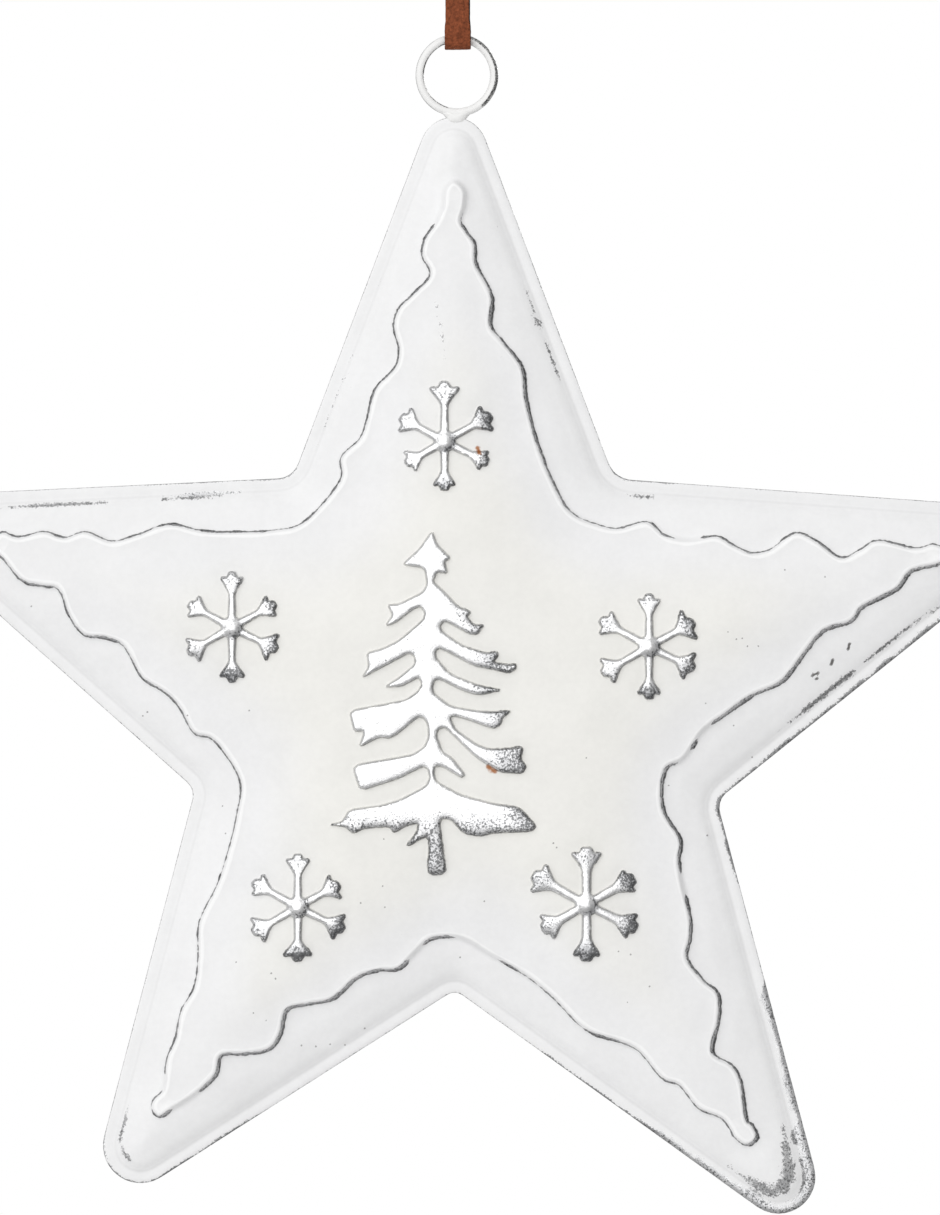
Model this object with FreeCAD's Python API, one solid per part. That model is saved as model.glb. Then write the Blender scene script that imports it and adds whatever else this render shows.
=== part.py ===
import FreeCAD, Part
import math
import os

from FreeCAD import Vector

# White tin star ornament: two pressed halves soldered at a flat flange, a wire ring on the top tip,
# and a flat leather lace through the ring. Millimetres. The front faces -Y and the star hangs along Z.
# The origin is the inside top of the lace loop, where a peg or twig along X holds it.

# Star outline. Each arm and each notch has its bearing in degrees and its share of the common reach,
# because the hand-cut arms differ. The order is clockwise seen from the front, from the top arm.
arm_reach = 125.0
notch_reach = 53.0
tip_radius = 7.0
notch_radius = 4.0
arm_bearings = (90.29, 17.72, -55.44, -126.01, 160.21)
arm_shares = (0.9986, 0.9943, 1.0316, 0.9786, 0.9558)
notch_bearings = (55.75, -19.19, -90.41, -163.14, 125.27)
notch_shares = (1.0062, 0.99, 1.0064, 0.9843, 1.023)
# Each tip's and each notch's rounding at the cut edge, as a share of the common radius.
tip_radius_shares = (0.92, 1.0, 1.0, 1.02, 1.0)
notch_radius_shares = (1.3, 0.9, 0.65, 0.8, 1.1)

# Pressed sheet, from the cut edge inwards.
sheet = 0.4
seam_gap = 0.2
flange_width = 2.5
ridge_rise = 1.3
ridge_tip_radius = 4.2
ridge_notch_radius = 7.0
band_run = 4.6
band_rise = 0.6
panel_rise = 1.0
crown_rise = 3.0
# Shares of the way from the outline's nearest edge to the star's centre: where the crown ends, and
# the mean inset of the raised panel's wavy border.
crown_end_share = 0.765
wave_inset_share = 0.23
# How far the crown has run in, and how far it has risen there.
crown_run_shares = (0.18, 0.42, 0.70, 1.0)
crown_rise_shares = (0.36, 0.70, 0.92, 1.0)
# Behind the ridge, which climbs at 45 degrees, the inside stands this share of the sheet further in.
wall_shift_share = 0.41

# Behind the raised panel the inside is hollowed to a plain star, this far in from the mean border.
recess_margin = 4.2
recess_tip_radius = 2.0

# Wavy border of the raised panel: for each arm, places along its two edges as a share of the edge
# from notch to sharp tip, and the inset there as a share of the mean inset.
finger_end_shares = (0.2, 0.21, 0.233, 0.208, 0.205)
# How far the border's smooth line bows out from each of its short straight steps.
wave_step_bow = 0.1
wave_up_shares = (
    ((0.03, 0.88), (0.08, 0.74), (0.131, 0.94), (0.171, 0.95), (0.242, 0.88), (0.287, 1.02),
     (0.313, 1.1), (0.349, 1.04), (0.392, 0.79), (0.433, 0.76), (0.475, 0.92), (0.515, 1.07),
     (0.547, 0.9), (0.584, 0.76), (0.636, 0.79), (0.675, 0.86), (0.716, 0.74)),
    ((-0.025, 0.92), (0.018, 0.95), (0.076, 0.79), (0.116, 1.02), (0.167, 1.08), (0.226, 0.97),
     (0.265, 1.12), (0.306, 1.24), (0.346, 1.14), (0.396, 0.8), (0.444, 0.94), (0.496, 1.21),
     (0.537, 1.04), (0.575, 0.83), (0.655, 0.93), (0.694, 0.83)),
    ((-0.014, 1.05), (0.057, 0.88), (0.098, 1.01), (0.147, 1.06), (0.218, 1.08), (0.257, 1.17),
     (0.298, 1.34), (0.351, 1.15), (0.388, 0.94), (0.44, 1.06), (0.499, 1.33), (0.538, 1.03),
     (0.579, 0.95), (0.639, 1.04), (0.69, 0.94)),
    ((-0.021, 1.08), (0.028, 1.03), (0.079, 0.94), (0.119, 1.11), (0.17, 1.22), (0.24, 1.13),
     (0.289, 1.28), (0.341, 1.42), (0.381, 1.12), (0.421, 0.97), (0.472, 1.14), (0.521, 1.36),
     (0.554, 1.11), (0.602, 0.98), (0.672, 0.98), (0.702, 0.92)),
    ((0.003, 0.91), (0.05, 0.95), (0.09, 0.81), (0.149, 0.99), (0.198, 1.02), (0.258, 0.94),
     (0.309, 1.09), (0.344, 1.16), (0.385, 1.03), (0.425, 0.81), (0.479, 0.91), (0.534, 1.14),
     (0.569, 0.98), (0.612, 0.8), (0.672, 0.87), (0.701, 0.88)),
)
wave_down_shares = (
    ((0.707, 0.77), (0.656, 0.93), (0.606, 0.89), (0.535, 1.05), (0.475, 0.96), (0.415, 1.18),
     (0.374, 1.09), (0.302, 0.91), (0.233, 1.05), (0.141, 1.14), (0.05, 1.14), (-0.035, 1.02)),
    ((0.697, 0.89), (0.637, 1.12), (0.588, 1.03), (0.508, 1.17), (0.468, 1.09), (0.409, 1.28),
     (0.337, 1.15), (0.27, 1.02), (0.199, 1.17), (0.14, 1.2), (0.07, 1.22), (0.001, 1.04),
     (-0.047, 1.09)),
    ((0.681, 0.79), (0.621, 1), (0.56, 0.9), (0.5, 1.04), (0.46, 0.96), (0.389, 1.12), (0.34, 1.04),
     (0.269, 0.86), (0.177, 0.99), (0.098, 1.03), (0.018, 0.95), (-0.052, 0.89)),
    ((0.69, 0.74), (0.64, 0.88), (0.589, 0.8), (0.54, 0.86), (0.479, 0.83), (0.419, 0.96), (0.349, 0.88),
     (0.279, 0.74), (0.188, 0.89), (0.098, 0.93), (0.028, 0.91), (-0.042, 0.82)),
    ((0.686, 0.79), (0.648, 0.9), (0.589, 0.82), (0.54, 0.95), (0.491, 0.86), (0.432, 1.06),
     (0.373, 0.97), (0.294, 0.79), (0.215, 0.95), (0.127, 1), (0.058, 1), (-0.022, 0.87)),
)

# Snowflakes: centres as shares of arm_reach.
flake_radius = 10.2
flake_rise = 0.9
flake_hub_share = 0.15
flake_place_shares = ((-0.019, 0.409), (0.292, 0.097), (0.197, -0.295), (-0.242, -0.299), (-0.342, 0.126))
# Clockwise from the upper arm: every flake's bearings, then for each flake the arms' lengths and the
# half widths of their heads, and its stems' half width, all as shares of the radius.
flake_bearings = (90.0, 29.0, -26.0, -90.0, -150.0, 151.0)
flake_reach_shares = (
    (1.12, 1.0, 0.91, 0.91, 0.83, 0.94), (0.98, 0.96, 0.94, 0.98, 1.01, 1.04),
    (1.07, 1.02, 1.04, 1.06, 0.95, 1.15), (0.99, 0.89, 0.96, 1.01, 0.97, 0.96),
    (1.04, 0.93, 0.94, 1.02, 0.95, 0.92),
)
flake_head_shares = (
    (0.28, 0.26, 0.19, 0.2, 0.21, 0.25), (0.21, 0.31, 0.27, 0.21, 0.26, 0.24),
    (0.28, 0.23, 0.25, 0.25, 0.26, 0.29), (0.22, 0.25, 0.26, 0.27, 0.26, 0.22),
    (0.21, 0.21, 0.27, 0.23, 0.25, 0.22),
)
flake_stem_shares = (0.062, 0.06, 0.085, 0.06, 0.055)
# Along an arm, and how far it has widened there from the stem to the head.
flake_arm_shares = ((0.6, 0.0), (0.7, 0.3), (0.87, 1.0), (0.91, 0.9), (0.9, 0.3), (1.0, 0.0))

# Fir tree: places from the apex, across and down, as shares of the tree's height.
tree_height = 65.4
tree_rise = 1.0
tree_apex_shares = (-0.038, 0.273)
tree_outline_shares = (
    (0.0, 0.0), (0.016, 0.041), (0.055, 0.079), (0.037, 0.089), (0.046, 0.124), (0.016, 0.119),
    (0.003, 0.147), (0.037, 0.178), (0.076, 0.22), (0.113, 0.234), (0.102, 0.25), (0.122, 0.273),
    (0.151, 0.273), (0.132, 0.301), (0.108, 0.299), (0.037, 0.261), (0.023, 0.277), (0.032, 0.294),
    (0.087, 0.333), (0.157, 0.355), (0.188, 0.35), (0.193, 0.361), (0.178, 0.382), (0.227, 0.389),
    (0.244, 0.385), (0.244, 0.403), (0.223, 0.413), (0.164, 0.399), (0.122, 0.392), (0.023, 0.34),
    (0.011, 0.35), (0.013, 0.371), (0.055, 0.417), (0.136, 0.449), (0.206, 0.462), (0.136, 0.477),
    (0.094, 0.466), (0.023, 0.431), (0.009, 0.434), (0.002, 0.452), (0.006, 0.473), (0.055, 0.51),
    (0.136, 0.524), (0.178, 0.526), (0.232, 0.521), (0.206, 0.543), (0.199, 0.564), (0.178, 0.575),
    (0.1, 0.547), (0.066, 0.538), (0.052, 0.541), (0.069, 0.578), (0.129, 0.62), (0.164, 0.633),
    (0.206, 0.633), (0.265, 0.626), (0.258, 0.663), (0.275, 0.684), (0.262, 0.705), (0.199, 0.701),
    (0.129, 0.659), (0.058, 0.589), (0.037, 0.571), (0.02, 0.575), (0.013, 0.592), (0.03, 0.642),
    (0.058, 0.659), (0.097, 0.708), (0.086, 0.717), (0.03, 0.684), (0.009, 0.684), (0.006, 0.705),
    (0.013, 0.729), (0.086, 0.768), (0.178, 0.792), (0.255, 0.803), (0.303, 0.856), (0.29, 0.873),
    (0.178, 0.877), (0.139, 0.887), (0.094, 0.88), (0.055, 0.838), (0.03, 0.835), (0.022, 0.852),
    (0.041, 0.985), (0.03, 0.998), (0.002, 1.0), (-0.013, 0.989), (-0.008, 0.901), (-0.019, 0.887),
    (-0.064, 0.914), (-0.073, 0.912), (-0.043, 0.873), (-0.04, 0.849), (-0.075, 0.856),
    (-0.11, 0.877), (-0.124, 0.859), (-0.194, 0.863), (-0.229, 0.879), (-0.254, 0.859),
    (-0.299, 0.854), (-0.261, 0.845), (-0.24, 0.81), (-0.152, 0.799), (-0.096, 0.783),
    (-0.019, 0.743), (-0.006, 0.719), (-0.012, 0.691), (-0.026, 0.684), (-0.096, 0.719),
    (-0.208, 0.755), (-0.229, 0.691), (-0.212, 0.677), (-0.103, 0.659), (-0.054, 0.649),
    (-0.022, 0.628), (-0.01, 0.599), (-0.012, 0.564), (-0.022, 0.545), (-0.04, 0.54),
    (-0.103, 0.592), (-0.124, 0.603), (-0.152, 0.599), (-0.212, 0.629), (-0.196, 0.582),
    (-0.226, 0.582), (-0.24, 0.522), (-0.124, 0.501), (-0.075, 0.491), (-0.04, 0.466),
    (-0.029, 0.445), (-0.038, 0.425), (-0.089, 0.452), (-0.139, 0.454), (-0.096, 0.427),
    (-0.05, 0.389), (-0.05, 0.364), (-0.068, 0.355), (-0.131, 0.389), (-0.205, 0.428),
    (-0.184, 0.396), (-0.189, 0.354), (-0.145, 0.343), (-0.096, 0.319), (-0.026, 0.259),
    (-0.02, 0.238), (-0.033, 0.22), (-0.054, 0.227), (-0.11, 0.27), (-0.135, 0.275),
    (-0.114, 0.245), (-0.129, 0.215), (-0.096, 0.213), (-0.026, 0.178), (-0.014, 0.154),
    (-0.022, 0.108), (-0.079, 0.099), (-0.082, 0.094), (-0.036, 0.052),
)

# Ring on the top tip, its solder and the solder film in the seam.
ring_wire = 1.6
ring_inner_radius = 6.3
ring_sides = 12
ring_seat = 0.1
film_width = 2.0
solder_width = 6.0
solder_rise = 1.1
solder_shoulder = 4.4
solder_drop = 1.6
solder_depth = 2.3
solder_face_share = 0.6

# Flat lace, hung on a peg, and the knot above it.
lace_width = 5.0
lace_thickness = 0.8
lace_clearance = 0.1
lace_drop = 60.0
peg_radius = 3.0
knot_entry_rise = 1.5
leg_run_share = 1.5
knot_width = 9.6
knot_depth = 6.6
knot_height = 8.5
knot_end_share = 0.62
knot_level_shares = (0.0, 0.28, 0.72, 1.0)
knot_sides = 16
wrap_width = 10.6
wrap_depth = 7.4
wrap_height = 4.2
wrap_tilt = 20.0
tail_length = 14.0
tail_splay = 3.2
tail_bow_share = 0.45
overrun = 1.0
# Share of the shorter run that the lace's arcs take, and the same at a square corner.
arc_run_share = 0.45
square_run_share = 0.5

# Places that follow from the sizes above.
half_seam = seam_gap / 2
flange_front = half_seam + sheet
wire_radius = ring_wire / 2
ring_radius = ring_inner_radius + wire_radius
half_lace = lace_width / 2
# Across the lace's width the ring's wire falls away by this much, and the fold stays clear of it.
wire_fall = ring_inner_radius - math.sqrt(ring_inner_radius ** 2 - half_lace ** 2)
fold_radius = wire_radius + wire_fall + lace_clearance
swing_z = -lace_drop
ring_z = swing_z - ring_radius
# The columns that cut the relief reach past its top.
relief_reach = ridge_rise + band_rise + crown_rise + panel_rise + tree_rise + flange_front + overrun * 2


def heading(bearing):
    """Give the unit vector at a bearing in the star's plane."""
    turn = math.radians(bearing)
    return Vector(math.cos(turn), 0, math.sin(turn))


def star_corners():
    """List the sharp tips and notches in turn, clockwise from the top tip."""
    corners = []
    for arm in range(len(arm_shares)):
        corners.append(heading(arm_bearings[arm]) * (arm_reach * arm_shares[arm]))
        corners.append(heading(notch_bearings[arm]) * (notch_reach * notch_shares[arm]))
    return corners


def inward(start, end):
    """Give the unit vector from an edge towards the inside of a clockwise outline."""
    along = (end - start).normalize()
    return Vector(along.z, 0, -along.x)


def crossing(place_a, along_a, place_b, along_b):
    """Give the place where two lines in the star's plane meet."""
    spread = along_a.x * along_b.z - along_a.z * along_b.x
    gap = place_b - place_a
    return place_a + along_a * ((gap.x * along_b.z - gap.z * along_b.x) / spread)


def inset_corners(corners, inset):
    """Move every edge of an outline inwards by the same distance."""
    moved = []
    for index, corner in enumerate(corners):
        before = corners[index - 1]
        after = corners[(index + 1) % len(corners)]
        place_a = corner + inward(before, corner) * inset
        place_b = corner + inward(corner, after) * inset
        moved.append(crossing(place_a, corner - before, place_b, after - corner))
    return moved


def arm_half_angle(arm):
    """Give half the angle between the two edges of an arm."""
    corners = star_corners()
    tip = corners[2 * arm]
    return (corners[2 * arm - 1] - tip).getAngle(corners[2 * arm + 1] - tip) / 2


def corner_arc(before, corner, after, radius):
    """Give start, middle and end of the arc that rounds a corner."""
    back = (before - corner).normalize()
    ahead = (after - corner).normalize()
    half = back.getAngle(ahead) / 2
    reach = radius / math.tan(half)
    middle = (back + ahead).normalize() * (radius / math.sin(half) - radius)
    return corner + back * reach, corner + middle, corner + ahead * reach


def rounded_wire(corners, radii, depth):
    """Join corners by straight edges with an arc at each corner, in the plane y = depth."""
    count = len(corners)
    arcs = []
    for index, corner in enumerate(corners):
        arcs.append(corner_arc(corners[index - 1], corner, corners[(index + 1) % count], radii[index]))
    edges = []
    for index, (start, middle, end) in enumerate(arcs):
        edges.append(Part.Arc(start, middle, end).toShape())
        following = arcs[(index + 1) % count][0]
        if (following - end).Length > sheet / 100:
            edges.append(Part.LineSegment(end, following).toShape())
    wire = Part.Wire(edges)
    wire.translate(Vector(0, depth, 0))
    return wire


def edge_wire(depth):
    """Give the star's cut edge, with each corner's own rounding."""
    radii = []
    for tip_share, notch_share in zip(tip_radius_shares, notch_radius_shares):
        radii.append(tip_radius * tip_share)
        radii.append(notch_radius * notch_share)
    return rounded_wire(star_corners(), radii, depth)


def star_wire(inset, tip, notch, depth):
    """Give the star's outline, moved inwards, with its own tip and notch radii."""
    corners = inset_corners(star_corners(), inset)
    return rounded_wire(corners, [tip, notch] * len(arm_shares), depth)


def room():
    """Give the distance from the outline's nearest edge to the star's centre."""
    corners = star_corners()
    reaches = []
    for index, corner in enumerate(corners):
        reaches.append(-inward(corners[index - 1], corner).dot(corner))
    return min(reaches)


def crown_profile():
    """List inset and height of the crowned form's sections above the flange."""
    profile = [(flange_width + ridge_rise, ridge_rise)]
    profile.append((flange_width + ridge_rise + band_run, ridge_rise + band_rise))
    inset, height = profile[-1]
    length = room() * crown_end_share - inset
    for run, rise in zip(crown_run_shares, crown_rise_shares):
        profile.append((inset + length * run, height + crown_rise * rise))
    return profile


def crown_facets(foot, base, shift):
    """Build the crowned star with flat facets, from the plane y = foot to its rise above y = base."""
    profile = crown_profile()
    sections = [(profile[0][0], foot)]
    for inset, height in profile:
        sections.append((inset, base - height))
    rings = []
    for inset, depth in sections:
        corners = inset_corners(star_corners(), inset + shift)
        rings.append([corner + Vector(0, depth, 0) for corner in corners])
    faces = [Part.Face(polygon_wire(rings[0])), Part.Face(polygon_wire(rings[-1]))]
    for low, high in zip(rings, rings[1:]):
        for index in range(len(low)):
            quad = [low[index - 1], low[index], high[index], high[index - 1]]
            faces.append(Part.Face(polygon_wire(quad)))
    return Part.makeSolid(Part.makeShell(faces))


def pressed_form(foot, base, shift):
    """Build the ridge with its rounded tips and notches, and the crown inside the ridge's top."""
    outline = star_wire(flange_width + shift, ridge_tip_radius, ridge_notch_radius, foot)
    top = base - ridge_rise
    plate = Part.Face(outline).extrude(Vector(0, top - foot, 0))
    rim = []
    for edge in plate.Edges:
        if max(abs(edge.BoundBox.YMin - top), abs(edge.BoundBox.YMax - top)) < sheet / 4:
            rim.append(edge)
    plate = plate.makeChamfer(ridge_rise, rim)
    inset = flange_width + ridge_rise + shift
    top_outline = star_wire(inset, ridge_tip_radius - ridge_rise, ridge_notch_radius + ridge_rise, foot)
    column = Part.Face(top_outline).extrude(Vector(0, -relief_reach, 0))
    crown = crown_facets(foot, base, shift).common(column)
    return plate, crown


def wave_stations():
    """List the wavy border's places."""
    corners = star_corners()
    mean_inset = room() * wave_inset_share
    points = []
    for arm in range(len(arm_shares)):
        tip = corners[2 * arm]
        before = corners[2 * arm - 1]
        after = corners[2 * arm + 1]
        for along, inset in wave_up_shares[arm]:
            step = inward(before, tip) * (mean_inset * inset)
            points.append(before + (tip - before) * along + step)
        axis = ((before - tip).normalize() + (after - tip).normalize()).normalize()
        points.append(tip + axis * (arm_reach * finger_end_shares[arm]))
        for along, inset in wave_down_shares[arm]:
            step = inward(tip, after) * (mean_inset * inset)
            points.append(after + (tip - after) * along + step)
    return points


def smooth_wire(stations):
    """Run a smooth closed line through the stations, in short straight steps."""
    curve = Part.BSplineCurve()
    curve.interpolate(Points=stations, PeriodicFlag=True)
    return polygon_wire(curve.discretize(Deflection=wave_step_bow)[:-1])


def prism(wire):
    """Push an outline through the whole relief, towards -Y."""
    return Part.Face(wire).extrude(Vector(0, -relief_reach, 0))


def polygon_wire(points):
    """Give a closed outline with straight sides."""
    return Part.makePolygon(points + [points[0]])


def flake_wire(flake):
    """Give one snowflake's outline: arms that widen to a barbed end."""
    place = flake_place_shares[flake]
    centre = Vector(arm_reach * place[0], 0, arm_reach * place[1])
    stem = flake_stem_shares[flake]
    points = []
    for arm, bearing in enumerate(flake_bearings):
        reach = flake_reach_shares[flake][arm]
        spread = flake_head_shares[flake][arm] - stem
        along = heading(bearing) * (flake_radius * reach)
        across = heading(bearing + 90.0) * flake_radius
        for run, widening in flake_arm_shares:
            points.append(centre + along * run + across * (stem + spread * widening))
        for run, widening in reversed(flake_arm_shares):
            points.append(centre + along * run - across * (stem + spread * widening))
        following = flake_bearings[(arm + 1) % len(flake_bearings)]
        between = heading(bearing) + heading(following)
        points.append(centre + between.normalize() * (flake_radius * flake_hub_share))
    return polygon_wire(points)


def tree_wire():
    """Give the fir tree's outline."""
    apex = Vector(arm_reach * tree_apex_shares[0], 0, arm_reach * tree_apex_shares[1])
    points = []
    for across, down in tree_outline_shares:
        points.append(apex + Vector(across, 0, -down) * tree_height)
    return polygon_wire(points)


def raised(crown, rise, column):
    """Lift the crown by a rise inside an outline's column."""
    return crown.translated(Vector(0, -rise, 0)).common(column)


def relief_columns():
    """List the front's relief: the raised panel, the fir tree and the snowflakes."""
    columns = [(panel_rise, prism(smooth_wire(wave_stations())))]
    columns.append((panel_rise + tree_rise, prism(tree_wire())))
    for flake in range(len(flake_place_shares)):
        columns.append((panel_rise + flake_rise, prism(flake_wire(flake))))
    return columns


def pressed_shell(columns, hollows):
    """Press one tin half: flange, ridge, band and crown, its relief and the hollows behind it."""
    outline = edge_wire(-half_seam)
    flange = Part.Face(outline).extrude(Vector(0, -sheet, 0))
    plate, crown = pressed_form(-half_seam, -flange_front, 0)
    shell = flange.multiFuse([plate, crown] + [raised(crown, rise, column) for rise, column in columns])
    plate, crown = pressed_form(overrun, -half_seam, sheet * wall_shift_share)
    inside = plate.multiFuse([crown] + [raised(crown, rise, column) for rise, column in hollows])
    return shell.cut(inside).removeSplitter()


def front_shell():
    """Press the front half, hollowed to a plain star behind its raised panel."""
    inset = room() * wave_inset_share + recess_margin
    recess = star_wire(inset, recess_tip_radius, ridge_notch_radius, overrun)
    return pressed_shell(relief_columns(), [(panel_rise, prism(recess))])


def back_shell():
    """Press the plain back half."""
    return pressed_shell([], []).mirror(Vector(0, 0, 0), Vector(0, 1, 0))


def seam_film():
    """Fill the seam between the two flanges, back from the cut edge."""
    outer = Part.Face(edge_wire(-half_seam))
    corners = inset_corners(star_corners(), film_width)
    points = []
    for index, corner in enumerate(corners):
        if index % 2:
            points.append(corner)
        else:
            radius = tip_radius * tip_radius_shares[index // 2] - film_width
            points.extend(corner_arc(corners[index - 1], corner, corners[index + 1], radius))
    inner = Part.Face(polygon_wire(points)).translated(Vector(0, -half_seam, 0))
    return outer.cut(inner).extrude(Vector(0, seam_gap, 0))


def ring():
    """Build the closed wire ring, standing in the star's plane, with a many-sided wire."""
    points = []
    for side in range(ring_sides):
        across = heading(360.0 * (side + 0.5) / ring_sides) * wire_radius
        points.append(Vector(ring_radius + across.x, across.z, 0))
    wire = Part.Face(polygon_wire(points)).revolve(Vector(0, 0, 0), Vector(0, 1, 0), 360)
    return wire.translated(Vector(0, 0, ring_z))


def solder_section(depth, scale):
    """Give the V-shaped fillet's outline at one depth."""
    half_top = solder_width / 2 * scale
    half_shoulder = solder_shoulder / 2 * scale
    points = [
        Vector(-half_top, depth, solder_rise * scale),
        Vector(half_top, depth, solder_rise * scale),
        Vector(half_shoulder, depth, 0),
        Vector(0, depth, -solder_drop * scale),
        Vector(-half_shoulder, depth, 0),
    ]
    return polygon_wire(points)


def ring_fillet(tip_z, cutters):
    """Run solder over the tip and round the foot of the ring."""
    half = solder_depth / 2
    sections = [
        solder_section(-half, solder_face_share),
        solder_section(0, 1),
        solder_section(half, solder_face_share),
    ]
    fillet = Part.makeLoft(sections, True, True)
    fillet.translate(Vector(0, 0, tip_z))
    for cutter in cutters:
        fillet = fillet.cut(cutter)
    return fillet


def route_radii(route):
    """Give each inner corner of a route its arc, from its share of the shorter run."""
    radii = []
    for index in range(1, len(route) - 1):
        back = route[index - 1] - route[index]
        ahead = route[index + 1] - route[index]
        half = back.getAngle(ahead) / 2
        run_share = square_run_share if round(math.degrees(half)) == 45 else arc_run_share
        radii.append(run_share * min(back.Length, ahead.Length) * math.tan(half))
    return radii


def strap(route, radii, width, thickness):
    """Build a flat strap along a route in the plane x = 0."""
    sides = []
    for side in (-thickness / 2, thickness / 2):
        edges = []
        place = None
        for index in range(1, len(route) - 1):
            corner = route[index]
            back = (route[index - 1] - corner).normalize()
            ahead = (route[index + 1] - corner).normalize()
            half = back.getAngle(ahead) / 2
            reach = radii[index - 1] / math.tan(half)
            normal = Vector(0, -back.z, back.y)
            turn = 1 if normal.dot(ahead) > 0 else -1
            centre = corner + (back + ahead).normalize() * (radii[index - 1] / math.sin(half))
            radius = radii[index - 1] - turn * side
            start = centre + (corner + back * reach - centre).normalize() * radius
            middle = centre + (corner - centre).normalize() * radius
            end = centre + (corner + ahead * reach - centre).normalize() * radius
            if place is None:
                place = route[0] + normal * side
            if (start - place).Length > thickness / 100:
                edges.append(Part.LineSegment(place, start).toShape())
            edges.append(Part.Arc(start, middle, end).toShape())
            place = end
        last = (route[-2] - route[-1]).normalize()
        finish = route[-1] + Vector(0, -last.z, last.y) * side
        edges.append(Part.LineSegment(place, finish).toShape())
        sides.append(edges)
    near = sides[0]
    far = sides[1]
    caps = [
        Part.LineSegment(near[0].Vertexes[0].Point, far[0].Vertexes[0].Point).toShape(),
        Part.LineSegment(near[-1].Vertexes[-1].Point, far[-1].Vertexes[-1].Point).toShape(),
    ]
    wire = Part.Wire(Part.__sortEdges__(near + far + caps))
    band = Part.Face(wire).extrude(Vector(width, 0, 0))
    band.translate(Vector(-width / 2, 0, 0))
    return band


def lace_route():
    """List the lace's centreline from the knot down the front, round the ring and up the back."""
    fold = fold_radius + lace_thickness / 2
    over_peg = peg_radius + lace_thickness / 2
    entry = lace_thickness / 2 + lace_clearance / 2
    down = [
        Vector(0, -entry, knot_entry_rise),
        Vector(0, -entry, lace_thickness / 2),
        Vector(0, -over_peg, -peg_radius),
        Vector(0, -fold, swing_z + fold * leg_run_share),
        Vector(0, -fold, swing_z - fold),
    ]
    up = [Vector(0, -place.y, place.z) for place in reversed(down)]
    return down + up


def lace():
    """Build the lace loop."""
    route = lace_route()
    radii = route_radii(route)
    print("lace radii:", [round(radius, 2) for radius in radii])
    band = strap(route, radii, lace_width, lace_thickness)
    print("lace length:", round(band.Volume / (lace_width * lace_thickness), 1))
    return band


def oval_wire(width, depth, height):
    """Give a many-sided oval section of the knot."""
    points = []
    for side in range(knot_sides):
        place = heading(360.0 * side / knot_sides)
        points.append(Vector(width / 2 * place.x, depth / 2 * place.z, height))
    return polygon_wire(points)


def tail(side):
    """Build one cut end of the lace, standing out of the knot."""
    top = knot_entry_rise + knot_height
    root = Vector(0, side * lace_thickness, knot_entry_rise + knot_height / 2)
    rise = Vector(0, side * lace_thickness, top + tail_length * tail_bow_share / 2)
    bow = Vector(0, side * tail_splay, top + tail_length * tail_bow_share * 2)
    end = Vector(0, side * tail_splay, top + tail_length)
    route = [root, rise, bow, end]
    return strap(route, route_radii(route), lace_width, lace_thickness)


def knot():
    """Build the lace's overhand knot: a full body, a crossing wrap and two tails."""
    levels = []
    for share in knot_level_shares:
        swell = 1 if 0 < share < 1 else knot_end_share
        height = knot_entry_rise + knot_height * share
        levels.append(oval_wire(knot_width * swell, knot_depth * swell, height))
    body = Part.makeLoft(levels, True, True)
    middle = knot_entry_rise + knot_height / 2
    wrap = Part.Face(oval_wire(wrap_width, wrap_depth, 0)).extrude(Vector(0, 0, wrap_height))
    wrap.translate(Vector(0, 0, middle - wrap_height / 2))
    wrap.rotate(Vector(0, 0, middle), Vector(0, 1, 0), wrap_tilt)
    return body.multiFuse([wrap, tail(-1), tail(1)])


def main():
    """Build every piece and write one file for each."""
    os.makedirs("parts", exist_ok=True)
    top_radius = tip_radius * tip_radius_shares[0]
    tip_top = star_corners()[0].z - top_radius * (1 / math.sin(arm_half_angle(0)) - 1)
    star_z = ring_z - ring_radius - wire_radius - ring_seat - tip_top
    place = Vector(0, 0, star_z)
    front = front_shell().translated(place)
    back = back_shell().translated(place)
    film = seam_film().translated(place)
    wire_ring = ring()
    pieces = {
        "front_shell": front,
        "back_shell": back,
        "seam_solder": film,
        "hanging_ring": wire_ring,
        "ring_solder": ring_fillet(star_z + tip_top, [wire_ring, front, back, film]),
        "hanging_lace": lace(),
        "lace_knot": knot(),
    }
    print("star centre z:", round(star_z, 2), "swing axis z:", round(swing_z, 2), "ring z:", round(ring_z, 2))
    for name, shape in pieces.items():
        print(name, "solids", len(shape.Solids), "faces", len(shape.Faces), "valid", shape.isValid(),
              "volume", round(shape.Volume, 1))
        shape.exportStep("parts/" + name + ".step")


main()
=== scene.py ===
"""White tin star ornament: pressed halves, wire ring and suede lace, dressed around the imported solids.

Sizes are millimetres until a mesh is made, and then metres. The front faces -Y and +Z is up. Places on
the star are given from its centre as seen from the front: across to the right, then up.
"""

import logging
import math
from collections.abc import Callable, Sequence
from dataclasses import dataclass, field
from enum import Enum

import bmesh
import bpy
import numpy as np
from mathutils import Matrix, Vector
from mathutils.geometry import delaunay_2d_cdt


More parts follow.
